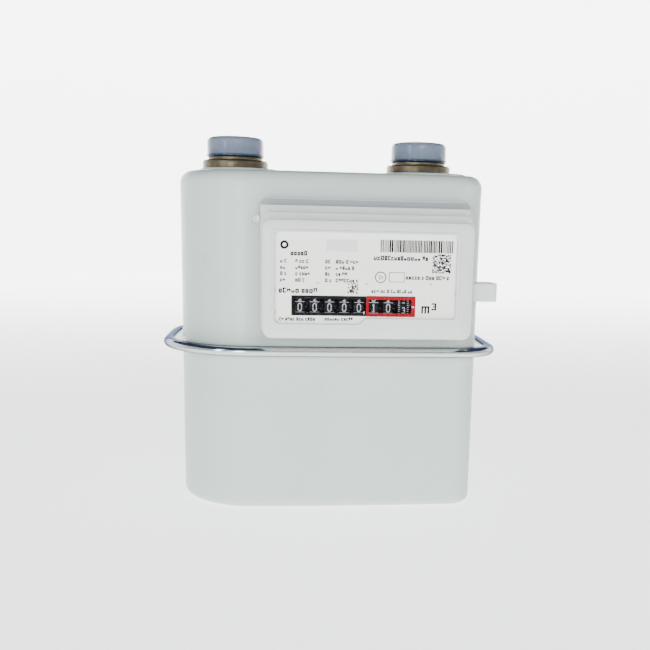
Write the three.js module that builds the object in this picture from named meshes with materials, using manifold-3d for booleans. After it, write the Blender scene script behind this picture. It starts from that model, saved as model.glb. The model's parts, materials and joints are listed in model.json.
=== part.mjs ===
// Domestic diaphragm gas meter, two-pipe, with a mechanical index.
// Millimetres. X to the right, Y to the back (the index faces -Y), Z up.
// The origin is the centre of the flat underside, midway between the two connection axes.
import * as THREE from 'three';
import { mergeVertices } from 'three/addons/utils/BufferGeometryUtils.js';
import Module from 'manifold-3d';

const wasm = await Module();
wasm.setup();

// ---- Driving dimensions --------------------------------------------------------------------
const GAP = 0.3;                 // clearance between pieces that rest on each other
const FIT = 0.1;                 // running clearance between an axle and its bore

// Casing
const HALF_W = 86;               // half width of the drawn casing, without the rim
const HALF_D = 56;               // half depth of the drawn casing, without the rim
const LEFT_R = 36;               // corner radius in plan, inlet end
const RIGHT_R = 12;              // corner radius in plan, outlet end
const BULGE_FRONT = 2;           // crown of the front and back walls
const BULGE_LEFT = 3.5;
const BULGE_RIGHT = 1.5;
const SHEET = 1;                 // drawn steel thickness
const SPLIT_Z = 93;              // plane where the two halves meet
const TOP_Z = 190.6;
const TOP_R = 7;                 // fillet round the top
const BASE_R = 5;                // fillet round the underside
const FLANGE_OUT = 8.6;          // how far the rolled flanges stand out
const ROOT_R = 2.4;              // fillet between the wall and its flange
const GASKET_T = 0.8;
const BAND_OUT = 11;             // outermost line of the clamp band
const BAND_R = 2.7;              // half height of the band's rounded nose
const BAND_T = 0.8;
const BAND_IN = 5.2;             // where the band's lips end
const PAD_W = 54;                // raised pad under each fitting
const PAD_D = 92;
const PAD_R = 24;
const PAD_H = 1.3;

// Connections
const SPACING = 110;             // distance between the inlet and outlet axes
const THREAD_R = 15.1;
const BORE_R = 11.5;
const SPIGOT_R = 14.2;
const COLLAR_R = 19.2;
const COLLAR_H = 4.6;
const COLLAR_BEVEL = 1.1;
const NOZZLE_TOP = 207.6;
const SPIGOT_BOTTOM = 183;
const NECK_R = 16;               // plain neck between the collar and the thread
const NECK_H = 1.3;
const COLLAR_SEAL = 0.6;         // thickness of the ring under the collar
const CAP_R = 17;
const CAP_T = 0.9;
const CAP_TOP = 211.6;
const CAP_ROUND = 2.4;           // rounded shoulder of the cap
const CAP_CROWN = 0.5;           // rise of its top from the shoulder to the middle

// Index housing
const COVER_X = [-37.4, 73.3];   // front face of the cover, left and right
const COVER_Z = [103.2, 164.3];
const COVER_R = 4.6;
const FRONT_Y = -84;
const LEDGE_DEPTH = 6.8;         // each ledge stands this far behind the one in front
const LEDGE_RISE = 3.8;
const LEDGE_SIDE = 0.55;
const BASE_Y = -56.4;            // back of the index base
const BASE_T = 2.4;
const BASE_FRONT = -64.4;
const WALL = 2;
const WINDOW_X = [-33.3, 66.5];
const WINDOW_Z = [110.3, 159.5];
const WINDOW_STEP_Z = 113.6;     // the window is shallower to the right of its chamfer
const WINDOW_STEP_X = [13.2, 16.9];
const PANE_T = 1.3;
const PLATE_T = 0.6;
const DRUM_WINDOW_X = [-21.6, 42];
const DRUM_WINDOW_Z = [115.9, 124.5];
const LUG_X = 88.9;
const LUG_Y = [-75, -59.6];
const LUG_Z = [122.9, 132.8];
const LUG_T = 1.5;
const LUG_FREE = 0.8;            // gap between the lug's free end and the cover's side
const LUG_BACK_R = 4;            // outside radius of its rear bend
const LUG_FRONT_R = 1.6;
const PLUG_X = -40.6;            // seal plug at the housing's left shoulder
const PLUG_Z = 164.6;
const PLUG_HEAD_R = 1.9;
const PLUG_STEM_R = 1;
const PLUG_Y = [-64.7, -58.2];   // front of its head, end of its stem
const EAR_Y = [-62.8, -57.9];
const EAR_R = 2.4;

// Index works
const DRUMS = 8;
const DRUM_PITCH = 7.8;
const DRUM_X = -17.6;            // centre of the first drum
const DRUM_Y = -71.5;
const DRUM_Z = 120.2;
const DRUM_R = 9;
const DRUM_W = 7.4;
const RING_W = 1.5;
const AXLE_R = 1.5;
const PINION_AXLE_R = 1;
const AXLE_ENDS = [-24.4, 51.2];
const CHEEKS = [[-23.6, -22.2], [49, 50.4]];
const CHEEK_Y = [-79, -62.3];
const CHEEK_Z = [105.9, 131.6];
const MAGNET_R = 1.3;
const MAGNET_UP = 5.5;           // its distance from the drum's axle
const MAGNET_T = 1.5;
const MAGNET_POCKET = 2;         // depth of its pocket in the last drum
const CARRY_MODULE = 0.78;
const CARRY_TEETH = 20;
const PINION_TEETH = 8;
const PINION_ANGLE = -60 * Math.PI / 180;
const CHANGE_MODULE = 1.07;
const CHANGE_TEETH = 12;
const INPUT_TEETH = 30;
const INPUT_X = 44.6;            // the index's input shaft, parallel to Y
const INPUT_Z = 130.3;
const CROSSED_TEETH = 14;        // the wheel beside the last drum
const CROSSED_MODULE = 0.86;
const CROSSED_HALF_W = 1.4;
const INPUT_Y = -78.6;           // front end of the input shaft
const INPUT_WORM_R = 2.9;
const INPUT_WORM_Y = [-77, -64.5];
const GEAR_Y = [-61.3, -59.3];   // the change gears' plane
const DRIVE_SHAFT_R = 1.5;
const DRIVE_SHAFT_Y = [-62.1, 25.5];
const GLAND_R = 5;
const GLAND_Y = [-58.6, -51];
const GLAND_SHOULDER_R = 7.5;    // bears on the inside of the casing
const GLAND_SHOULDER_Y = [-54, -50.5];

// Measuring unit
const CRANK_X = 10;              // the crank's vertical axis stands at y = 0
const CRANK_THROW = 6.2;
const CRANK_R = 2.6;
const CRANK_Z = [105.5, 154];
const CRANK_ARM_HALF_W = 2.4;
const JOURNAL_R = 1.5;           // the crank's lower and upper bearings
const JOURNAL_Z = 148.4;         // foot of the upper one
const WORM_R = 3.5;
const WORM_Z = [133.5, 142];
const WHEEL_R = 9.5;
const WHEEL_TEETH = 20;
const WHEEL_HALF_W = 1.5;
const UNIT_X = [-58, 58];
const UNIT_Z = [10, 104];
const UNIT_R = 12;               // corner radius of the unit's sides
const UNIT_HALF_D = 20;
const UNIT_WALL = 3;
const FOOT_X = [-45, 35];        // left side of each foot
const FOOT_W = 10;
const FOOT_HALF_D = 18;
const TABLE_X = [-60, 76];
const TABLE_HALF_D = 30;
const TABLE_TOP = 108;
const TABLE_R = 10;
const RISER_HALF_W = 44;         // joins the table to the unit's top
const PORT_Y = 11;
const PORT_HALF_W = 7;
const PORT_HALF_D = 4;
const SHEET_T = 1.2;             // diaphragm
const SHEET_HOLE_R = 36;
const ROLL_R = 34.6;             // middle line of its convolution
const ROLL_H = [4, 2.8];         // outside and inside radius of the roll
const CUP_RIM = 1.6;
const CUP_DEPTH = 21.5;
const CUP_T = 1.8;
const DISC_R = 30;
const DISC_Z = 57;
const DISC_Y = 22;
const DISC_HALF_T = 0.8;
const JAW_Z = 21;                // each jaw's distance above or below the disc's middle
const JAW_HALF_W = 3.5;
const JAW_REACH = 2.4;
const FLAG_X = -46;
const FLAG_Y = 14;
const FLAG_REACH = 38;
const FLAG_HALF_H = 18;
const FLAG_ROD_R = 2;
const FLAG_PIN_R = 0.9;
const ARM_TIP = [-18, 24];
const ARM_Z = 118;
const ARM_T = 2;
const ARM_HUB_R = 4;
const ARM_HALF_W = 2.6;
const LINK_Z = { front: 124.6, rear: 126.8 };
const LINK_T = 1.6;
const LINK_HALF_W = 1.8;
const LINK_EYE_R = 2.8;
const LINK_PIN_R = 1.2;
const VALVE_R = 19;
const VALVE_T = 1.6;
const VALVE_H = 5;
const VALVE_BORE_R = 3;
const BRIDGE_X = [2, 36];
const BRIDGE_Y = [21.5, 24];
const BRIDGE_TOP = 152;
const BRIDGE_T = 3;
const DUCT_R = 16;
const DUCT_FOOT = 2.5;           // how far its foot stands out
const DUCT_FOOT_H = 2;
const DUCT_OVERLAP = 3.5;        // how far it reaches up round the spigot

const DRIVE_X = CRANK_X + WORM_R + GAP + WHEEL_R;
const CHANGE_DISTANCE = CHANGE_MODULE * (CHANGE_TEETH + INPUT_TEETH) / 2;
const DRIVE_Z = INPUT_Z + Math.sqrt(CHANGE_DISTANCE ** 2 - (INPUT_X - DRIVE_X) ** 2);
const CARRY_DISTANCE = CARRY_MODULE * (CARRY_TEETH + PINION_TEETH) / 2;
const PINION_Y = DRUM_Y + CARRY_DISTANCE * Math.cos(PINION_ANGLE);
const PINION_Z = DRUM_Z + CARRY_DISTANCE * Math.sin(PINION_ANGLE);

const meter = new THREE.Group();

// ---- Materials -------------------------------------------------------------------------------
function finish(color, roughness, metalness, opacity = 1) {
  return new THREE.MeshStandardMaterial({
    color, roughness, metalness, opacity, transparent: opacity < 1,
  });
}

const FINISH = {
  paint: () => finish(0xc5cbc7, 0.32, 0.1),
  stainless: () => finish(0xb9b9b4, 0.14, 1),
  rubber: () => finish(0x1c2433, 0.6, 0),
  bronze: () => finish(0x786d5b, 0.5, 0.85),
  cap: () => finish(0x8fa3c4, 0.12, 0, 0.6),
  cover: () => finish(0xc8cdcd, 0.42, 0),
  pane: () => finish(0xf2f6f5, 0.05, 0, 0.25),
  label: () => finish(0xeeece8, 0.5, 0),
  ivory: () => finish(0xe6dccb, 0.45, 0),
  black: () => finish(0x16171a, 0.5, 0),
  steel: () => finish(0xa5a8ab, 0.3, 1),
  gear: () => finish(0xd8d4c6, 0.5, 0),
  magnet: () => finish(0x55585c, 0.35, 1),
  unit: () => finish(0x3b3f45, 0.55, 0),
  leather: () => finish(0x2b2a2a, 0.7, 0),
  brass: () => finish(0xb08d4f, 0.35, 1),
};

function add(name, geometry, material) {
  const mesh = new THREE.Mesh(geometry, FINISH[material]());
  mesh.name = name;
  meter.add(mesh);
}

// ---- Geometry helpers --------------------------------------------------------------------------
function toSolid(geometry) {
  const bare = geometry.clone();
  bare.deleteAttribute('normal');
  bare.deleteAttribute('uv');
  const merged = mergeVertices(bare, 1e-4);
  return new wasm.Manifold(new wasm.Mesh({
    numProp: 3,
    vertProperties: new Float32Array(merged.attributes.position.array),
    triVerts: new Uint32Array(merged.index.array),
  }));
}

function toGeometry(solid) {
  const mesh = solid.getMesh();
  const geometry = new THREE.BufferGeometry();
  geometry.setAttribute('position', new THREE.BufferAttribute(mesh.vertProperties, 3));
  geometry.setIndex(new THREE.BufferAttribute(mesh.triVerts, 1));
  return geometry;
}

// Joins the first list of geometries and cuts the second list from the result.
function carve(parts, cuts = []) {
  let solid = parts.map(toSolid).reduce((all, next) => all.add(next));
  for (const cut of cuts) {
    solid = solid.subtract(toSolid(cut));
  }
  return toGeometry(solid);
}

function box(x, y, z) {
  const geometry = new THREE.BoxGeometry(x[1] - x[0], y[1] - y[0], z[1] - z[0]);
  return geometry.translate((x[0] + x[1]) / 2, (y[0] + y[1]) / 2, (z[0] + z[1]) / 2);
}

function circle(u, v, radius, segments) {
  const points = [];
  for (let i = 0; i < segments; i++) {
    const angle = 2 * Math.PI * (i + 0.5) / segments;
    points.push([u + radius * Math.cos(angle), v + radius * Math.sin(angle)]);
  }
  return points;
}

// Rounds the corners of a polygon: one radius for all corners, or one for each.
function rounded(corners, radius, steps = 4) {
  const points = [];
  corners.forEach((corner, i) => {
    const here = new THREE.Vector2(...corner);
    const before = new THREE.Vector2(...corners.at(i - 1)).sub(here).normalize();
    const after = new THREE.Vector2(...corners[(i + 1) % corners.length]).sub(here).normalize();
    const r = Array.isArray(radius) ? radius[i] : radius;
    const half = Math.acos(THREE.MathUtils.clamp(before.dot(after), -1, 1)) / 2;
    const middle = before.clone().add(after).normalize();
    const centre = here.clone().addScaledVector(middle, r / Math.sin(half));
    const from = here.clone().addScaledVector(before, r / Math.tan(half)).sub(centre);
    const to = here.clone().addScaledVector(after, r / Math.tan(half)).sub(centre);
    let turn = to.angle() - from.angle();
    turn -= 2 * Math.PI * Math.round(turn / (2 * Math.PI));
    for (let k = 0; k <= steps; k++) {
      const angle = from.angle() + turn * k / steps;
      points.push([centre.x + r * Math.cos(angle), centre.y + r * Math.sin(angle)]);
    }
  });
  return points;
}

function rectangle(u, v, radius, steps) {
  return rounded([[u[0], v[0]], [u[1], v[0]], [u[1], v[1]], [u[0], v[1]]], radius, steps);
}

function toShape(points, holes = []) {
  const shape = new THREE.Shape(points.map((p) => new THREE.Vector2(...p)));
  shape.holes = holes.map((hole) => new THREE.Path(hole.map((p) => new THREE.Vector2(...p))));
  return shape;
}

function prism(points, holes, depth) {
  return new THREE.ExtrudeGeometry(toShape(points, holes), { depth, bevelEnabled: false });
}

// Prisms along each axis. The outline's two coordinates are (x, y), (x, z) and (y, z).
function alongZ(points, z, holes = []) {
  return prism(points, holes, z[1] - z[0]).translate(0, 0, z[0]);
}

function alongY(points, y, holes = []) {
  return prism(points, holes, y[1] - y[0]).rotateX(Math.PI / 2).translate(0, y[1], 0);
}

function alongX(points, x, holes = []) {
  const turn = new THREE.Matrix4().makeBasis(
    new THREE.Vector3(0, 1, 0), new THREE.Vector3(0, 0, 1), new THREE.Vector3(1, 0, 0));
  return prism(points, holes, x[1] - x[0]).applyMatrix4(turn).translate(x[0], 0, 0);
}

// A solid of revolution about a vertical axis. The profile is a list of [radius, z].
function turned(profile, segments, x = 0, y = 0) {
  const points = profile.map((p) => new THREE.Vector2(Math.max(p[0], 0), p[1]));
  const lathe = new THREE.LatheGeometry(points, segments).rotateX(Math.PI / 2);
  return outward(lathe).translate(x, y, 0);
}

// A tube of revolution: the profile closes on itself.
function turnedRing(profile, segments, x = 0, y = 0) {
  return turned([...profile, profile[0]], segments, x, y);
}

function signedVolume(geometry) {
  const p = geometry.attributes.position;
  const index = geometry.index;
  const [a, b, c] = [new THREE.Vector3(), new THREE.Vector3(), new THREE.Vector3()];
  let sum = 0;
  for (let i = 0; i < index.count; i += 3) {
    a.fromBufferAttribute(p, index.getX(i));
    b.fromBufferAttribute(p, index.getX(i + 1));
    c.fromBufferAttribute(p, index.getX(i + 2));
    sum += a.dot(b.cross(c)) / 6;
  }
  return sum;
}

// Turns the faces round if they point inward.
function outward(geometry) {
  if (signedVolume(geometry) < 0) {
    const index = geometry.index;
    for (let i = 0; i < index.count; i += 3) {
      const second = index.getX(i + 1);
      index.setX(i + 1, index.getX(i + 2));
      index.setX(i + 2, second);
    }
  }
  return geometry;
}

// Skins a row of closed outlines with equal numbers of points. An open row is closed by a fan
// at each end; a looped row joins its last outline to its first.
function skin(outlines, looped = false) {
  const count = outlines[0].length;
  const positions = outlines.flat(2);
  const triangles = [];
  const rows = looped ? outlines.length : outlines.length - 1;
  for (let row = 0; row < rows; row++) {
    const next = (row + 1) % outlines.length;
    for (let i = 0; i < count; i++) {
      const j = (i + 1) % count;
      const [a, b, c, d] = [row * count + i, row * count + j, next * count + j, next * count + i];
      triangles.push(a, b, c, a, c, d);
    }
  }
  if (!looped) {
    for (const [row, flip] of [[0, true], [outlines.length - 1, false]]) {
      const centre = positions.length / 3;
      for (let k = 0; k < 3; k++) {
        positions.push(outlines[row].reduce((sum, p) => sum + p[k], 0) / count);
      }
      for (let i = 0; i < count; i++) {
        const pair = [row * count + i, row * count + (i + 1) % count];
        triangles.push(...(flip ? [centre, pair[1], pair[0]] : [centre, pair[0], pair[1]]));
      }
    }
  }
  const geometry = new THREE.BufferGeometry();
  geometry.setAttribute('position', new THREE.Float32BufferAttribute(positions, 3));
  geometry.setIndex(triangles);
  return outward(geometry);
}

// A toothed outline. Each tooth is a triangle with a flat root between it and the next.
const TIP_SHARE = 0.68;          // tip and root distances from the pitch circle, in modules
const ROOT_SHARE = 1.08;

function gearOutline(u, v, teeth, module, phase) {
  const tip = module * (teeth / 2 + TIP_SHARE);
  const root = module * (teeth / 2 - ROOT_SHARE);
  const pitchAngle = 2 * Math.PI / teeth;
  const points = [];
  for (let i = 0; i < teeth; i++) {
    const middle = phase + i * pitchAngle;
    for (const [radius, share] of [[root, -0.3], [tip, 0], [root, 0.3]]) {
      const angle = middle + share * pitchAngle;
      points.push([u + radius * Math.cos(angle), v + radius * Math.sin(angle)]);
    }
  }
  return points;
}

// ---- Casing ------------------------------------------------------------------------------------
// The casing's outline in plan, moved outward by an offset: an asymmetric rounded rectangle
// whose walls are slightly crowned.
function plan(offset) {
  const a = HALF_W + offset;
  const b = HALF_D + offset;
  const inner = b - BULGE_FRONT;
  const sides = { left: a - BULGE_LEFT, right: a - BULGE_RIGHT };
  const left = Math.max(LEFT_R + offset, 1);
  const right = Math.max(RIGHT_R + offset, 1);
  const arcs = [
    [sides.right - right, inner - right, right, 0, 4],
    [left - sides.left, inner - left, left, 90, 7],
    [left - sides.left, left - inner, left, 180, 7],
    [sides.right - right, right - inner, right, 270, 4],
  ];
  const straight = [4, 2, 4, 2];
  const points = [];
  arcs.forEach(([x, y, radius, start, steps], i) => {
    for (let k = 0; k <= steps; k++) {
      const angle = THREE.MathUtils.degToRad(start + 90 * k / steps);
      points.push([x + radius * Math.cos(angle), y + radius * Math.sin(angle)]);
    }
    const [nx, ny, nr, nextStart] = arcs[(i + 1) % arcs.length];
    const turn = THREE.MathUtils.degToRad(nextStart);
    const end = [nx + nr * Math.cos(turn), ny + nr * Math.sin(turn)];
    const from = points.at(-1);
    for (let k = 1; k < straight[i]; k++) {
      const t = k / straight[i];
      points.push([from[0] + (end[0] - from[0]) * t, from[1] + (end[1] - from[1]) * t]);
    }
  });
  return points.map(([x, y]) => {
    const side = x > 0 ? sides.right : sides.left;
    const crown = x > 0 ? BULGE_RIGHT : BULGE_LEFT;
    return [
      x + Math.sign(x) * crown * (1 - (y / inner) ** 2) * Math.abs(x) / side,
      y + Math.sign(y) * BULGE_FRONT * (1 - (x / a) ** 2) * Math.abs(y) / inner,
    ];
  });
}

function planRing([offset, z]) {
  return plan(offset).map(([x, y]) => [x, y, z]);
}

// Points of a quarter turn in the profile plane, from one angle to another in degrees.
function bend(offset, z, radius, from, to, steps) {
  const points = [];
  for (let k = 0; k <= steps; k++) {
    const angle = THREE.MathUtils.degToRad(from + (to - from) * k / steps);
    points.push([offset + radius * Math.cos(angle), z + radius * Math.sin(angle)]);
  }
  return points;
}

// One half of the casing as a drawn cup with a flange: outside from the closed end to the
// flange, then back along the inside. up is 1 for the upper half and -1 for the lower.
function drawnHalf(closedZ, closedR, up) {
  const flange = SPLIT_Z + up * (GASKET_T / 2 + GAP);
  const turn = (angle) => up * angle;
  const outside = [
    ...bend(-closedR, closedZ - up * closedR, closedR, turn(90), 0, 3),
    ...bend(ROOT_R, flange + up * (SHEET + ROOT_R), ROOT_R, 180, 180 + turn(90), 2),
    [FLANGE_OUT, flange + up * SHEET],
  ];
  const inside = [
    [FLANGE_OUT, flange],
    ...bend(ROOT_R, flange + up * (SHEET + ROOT_R), ROOT_R + SHEET, 180 + turn(90), 180, 2),
    ...bend(-closedR, closedZ - up * closedR, closedR - SHEET, 0, turn(90), 3),
  ];
  return skin([...outside, ...inside].map(planRing));
}

function fittingX(side) {
  return side === 'inlet' ? -SPACING / 2 : SPACING / 2;
}

// The pad's own outline is a rounded rectangle; the casing's outline trims it at the ends.
function pad(side) {
  const x = fittingX(side);
  const foot = PAD_H * 1.5;
  const low = TOP_Z - SHEET / 2;
  const outline = (grow, z) => rectangle(
    [x - PAD_W / 2 - grow, x + PAD_W / 2 + grow],
    [-PAD_D / 2 - grow, PAD_D / 2 + grow], PAD_R + grow, 3).map(([u, v]) => [u, v, z]);
  const block = skin([outline(foot, low), outline(foot, TOP_Z), outline(0, TOP_Z + PAD_H)]);
  const trim = skin([
    [1 - TOP_R, low - 1], [1 - TOP_R, TOP_Z], [-TOP_R - foot, TOP_Z + PAD_H + 1],
  ].map(planRing));
  return toGeometry(toSolid(block).intersect(toSolid(trim)));
}

function upperCasing() {
  const holeR = SPIGOT_R + GAP;
  const holes = ['inlet', 'outlet'].map((side) => (
    alongZ(circle(fittingX(side), 0, holeR, 24), [TOP_Z - 5, TOP_Z + 5])));
  const gland = alongY(circle(DRIVE_X, DRIVE_Z, GLAND_R + GAP, 20), [-60, -50]);
  const shell = drawnHalf(TOP_Z, TOP_R, 1);
  add('upper_casing', carve([shell, pad('inlet'), pad('outlet')], [...holes, gland]), 'paint');
}

function lowerCasing() {
  add('lower_casing', drawnHalf(0, BASE_R, -1), 'paint');
}

function casingGasket() {
  const profile = [
    [0.6, SPLIT_Z - GASKET_T / 2], [FLANGE_OUT, SPLIT_Z - GASKET_T / 2],
    [FLANGE_OUT, SPLIT_Z + GASKET_T / 2], [0.6, SPLIT_Z + GASKET_T / 2],
  ];
  add('casing_gasket', skin(profile.map(planRing), true), 'rubber');
}

function clampBand() {
  const middle = BAND_OUT - BAND_R;
  const inner = BAND_R - BAND_T;
  const profile = [
    [BAND_IN, SPLIT_Z - BAND_R],
    ...bend(middle, SPLIT_Z, BAND_R, -90, 90, 4),
    [BAND_IN, SPLIT_Z + BAND_R],
    [BAND_IN, SPLIT_Z + inner],
    ...bend(middle + 0.6, SPLIT_Z, inner, 90, -90, 2),
    [BAND_IN, SPLIT_Z - inner],
  ];
  add('clamp_band', skin(profile.map(planRing), true), 'stainless');
}

// ---- Connections -------------------------------------------------------------------------------
function connection(side) {
  const x = fittingX(side);
  const padTop = TOP_Z + PAD_H;
  const seat = padTop + GAP + COLLAR_SEAL;
  const collarTop = seat + COLLAR_H;
  const neckTop = collarTop + NECK_H;
  const nozzle = [
    [BORE_R, SPIGOT_BOTTOM], [SPIGOT_R, SPIGOT_BOTTOM], [SPIGOT_R, seat],
    [COLLAR_R - COLLAR_BEVEL / 2, seat], [COLLAR_R, seat + COLLAR_BEVEL],
    [COLLAR_R, collarTop - COLLAR_BEVEL], [COLLAR_R - COLLAR_BEVEL, collarTop],
    [NECK_R, collarTop], [NECK_R, neckTop],
    [THREAD_R, neckTop], [THREAD_R, NOZZLE_TOP - 1], [THREAD_R - 1, NOZZLE_TOP], [BORE_R, NOZZLE_TOP],
  ];
  add(`${side}_nozzle`, turnedRing(nozzle, 24, x), 'bronze');

  const low = padTop + GAP / 2;
  const ring = [
    [SPIGOT_R + GAP, low], [COLLAR_R - 1, low],
    [COLLAR_R - 1, low + COLLAR_SEAL], [SPIGOT_R + GAP, low + COLLAR_SEAL],
  ];
  add(`${side}_gasket`, turnedRing(ring, 24, x), 'rubber');

  const rim = neckTop + GAP;
  const shoulder = CAP_TOP - CAP_CROWN;
  const arc = [0, 30, 60, 90].map((angle) => THREE.MathUtils.degToRad(angle));
  const cap = [
    [CAP_R - CAP_T, rim], [CAP_R, rim],
    ...arc.map((t) => [
      CAP_R - CAP_ROUND + CAP_ROUND * Math.cos(t),
      shoulder - CAP_ROUND + CAP_ROUND * Math.sin(t)]),
    [0, CAP_TOP], [0, CAP_TOP - CAP_T],
    [CAP_R - CAP_ROUND, shoulder - CAP_T], [CAP_R - CAP_T, shoulder - CAP_ROUND],
  ];
  add(`${side}_cap`, turnedRing(cap, 24, x), 'cap');
}

// ---- Index housing -----------------------------------------------------------------------------
// Outline of ledge k in (x, z), where ledge 0 is the cover's front face.
function ledge(k, y, inset = 0) {
  const side = LEDGE_SIDE * k - inset;
  const corners = [
    [COVER_X[0] - side, COVER_Z[0] + inset], [COVER_X[1] + side, COVER_Z[0] + inset],
    [COVER_X[1] + side, COVER_Z[1] + LEDGE_RISE * k - inset],
    [COVER_X[0] - side, COVER_Z[1] + LEDGE_RISE * k - inset],
  ];
  return rounded(corners, COVER_R, 4).map(([x, z]) => [x, y, z]);
}

function ledgeY(k) {
  return FRONT_Y + LEDGE_DEPTH * k;
}

const INNER_X = [COVER_X[0] + WALL, COVER_X[1] - WALL];
const INNER_Z = [COVER_Z[0] + WALL, COVER_Z[1] - WALL];

function windowOutline(inset) {
  const corners = [
    [WINDOW_X[0] + inset, WINDOW_Z[0] + inset],
    [WINDOW_STEP_X[0] - inset / 2, WINDOW_Z[0] + inset],
    [WINDOW_STEP_X[1] - inset / 2, WINDOW_STEP_Z + inset],
    [WINDOW_X[1] - inset, WINDOW_STEP_Z + inset],
    [WINDOW_X[1] - inset, WINDOW_Z[1] - inset],
    [WINDOW_X[0] + inset, WINDOW_Z[1] - inset],
  ];
  return rounded(corners, [3, 1.5, 1.5, 2, 2.5, 3], 3);
}

function indexCover() {
  const edge = 0.6;
  const rows = [ledge(0, FRONT_Y, edge), ledge(0, FRONT_Y + edge)];
  for (const k of [1, 2]) {
    rows.push(ledge(k - 1, ledgeY(k) - 3), ledge(k, ledgeY(k)));
  }
  rows.push(ledge(2, BASE_FRONT - GAP));
  const hollow = box(INNER_X, [FRONT_Y + WALL, BASE_FRONT + 1], INNER_Z);
  const opening = alongY(windowOutline(0), [FRONT_Y - 1, FRONT_Y + WALL + 1]);
  add('index_cover', carve([skin(rows)], [hollow, opening]), 'cover');
}

function indexWindow() {
  const front = FRONT_Y + 0.4;
  add('index_window', alongY(windowOutline(GAP), [front, front + PANE_T]), 'pane');
}

function namePlate() {
  const outline = rectangle(
    [INNER_X[0] + GAP, INNER_X[1] - GAP], [INNER_Z[0] + GAP, INNER_Z[1] - GAP], 1, 2);
  const opening = rectangle(DRUM_WINDOW_X, DRUM_WINDOW_Z, 0.5, 1);
  const front = FRONT_Y + WALL + GAP;
  add('name_plate', alongY(outline, [front, front + PLATE_T], [opening]), 'label');
}

// A strap that leaves the base's right side, turns forward and comes back beside the cover.
function lug() {
  const attach = COVER_X[1];
  const free = COVER_X[1] + 2 * LEDGE_SIDE + LUG_FREE;
  const past = [LUG_Z[0] - 1, LUG_Z[1] + 1];
  const loop = (inset, left, radii) => rounded([
    [left, LUG_Y[0] + inset], [LUG_X - inset, LUG_Y[0] + inset],
    [LUG_X - inset, LUG_Y[1] - inset], [left, LUG_Y[1] - inset],
  ], radii, 4);
  const strap = alongZ(loop(0, attach, [0.3, LUG_FRONT_R, LUG_BACK_R, 0.3]), LUG_Z);
  const hollow = alongZ(
    loop(LUG_T, attach - 1, [0.2, 0.5, LUG_BACK_R - LUG_T, 0.2]), past);
  const freeEnd = box([attach - 1, free], [LUG_Y[0] - 1, BASE_FRONT - GAP], past);
  return { strap, cuts: [hollow, freeEnd] };
}

function indexBase() {
  const rows = [ledge(2, BASE_FRONT), ledge(3, ledgeY(3)), ledge(3, BASE_Y)];
  const hollow = box(INNER_X, [BASE_FRONT - 1, BASE_Y - BASE_T], INNER_Z);
  const { strap, cuts } = lug();
  const earOutline = rectangle(
    [PLUG_X - EAR_R, COVER_X[0] + EAR_R], [PLUG_Z - EAR_R, PLUG_Z + EAR_R], EAR_R - 0.1, 4);
  const ear = alongY(earOutline, EAR_Y);
  const base = carve([carve([strap], cuts), skin(rows), ear], [
    hollow,
    alongY(circle(PLUG_X, PLUG_Z, PLUG_HEAD_R + FIT, 14), [BASE_FRONT - 1, EAR_Y[0]]),
    alongY(circle(PLUG_X, PLUG_Z, PLUG_STEM_R + FIT, 12), [EAR_Y[0] - 1, EAR_Y[1] + 1]),
    alongY(circle(DRIVE_X, DRIVE_Z, GLAND_R + GAP, 20), [-60, -56]),
    alongY(circle(INPUT_X, INPUT_Z, AXLE_R + FIT, 12), [-60, -56]),
  ]);
  add('index_base', base, 'cover');
}

function sealPlug() {
  const head = alongY(circle(PLUG_X, PLUG_Z, PLUG_HEAD_R, 14), [PLUG_Y[0], EAR_Y[0] - GAP]);
  const stem = alongY(circle(PLUG_X, PLUG_Z, PLUG_STEM_R, 12), [EAR_Y[0] - 2 * GAP, PLUG_Y[1]]);
  add('seal_plug', carve([head, stem]), 'ivory');
}

// ---- Index works -------------------------------------------------------------------------------
function drumX(k) {
  return DRUM_X + DRUM_PITCH * k;
}

// Two cheeks on a floor strip, with a foot at each end that reaches the base.
function indexFrame() {
  const floorTop = CHEEK_Z[0] + 0.9;
  const footTop = CHEEK_Z[0] + 4.1;
  const footW = 3.4;
  const parts = CHEEKS.map((x) => box(x, CHEEK_Y, CHEEK_Z));
  parts.push(box([CHEEKS[0][0], CHEEKS[1][1]], CHEEK_Y, [CHEEK_Z[0], floorTop]));
  for (const x of [CHEEKS[0][0], CHEEKS[1][1] - footW]) {
    const reach = [CHEEK_Y[1] - 1, BASE_Y - BASE_T - GAP];
    parts.push(box([x, x + footW], reach, [CHEEK_Z[0], footTop]));
  }
  const span = [CHEEKS[0][0] - 1, CHEEKS[1][1] + 1];
  const holes = [
    alongX(circle(DRUM_Y, DRUM_Z, AXLE_R + FIT, 12), span),
    alongX(circle(PINION_Y, PINION_Z, PINION_AXLE_R + FIT, 10), span),
  ];
  add('index_frame', carve(parts, holes), 'black');
  add('drum_axle', alongX(circle(DRUM_Y, DRUM_Z, AXLE_R, 12), AXLE_ENDS), 'steel');
  add('pinion_axle', alongX(circle(PINION_Y, PINION_Z, PINION_AXLE_R, 10), AXLE_ENDS), 'steel');
}

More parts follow.
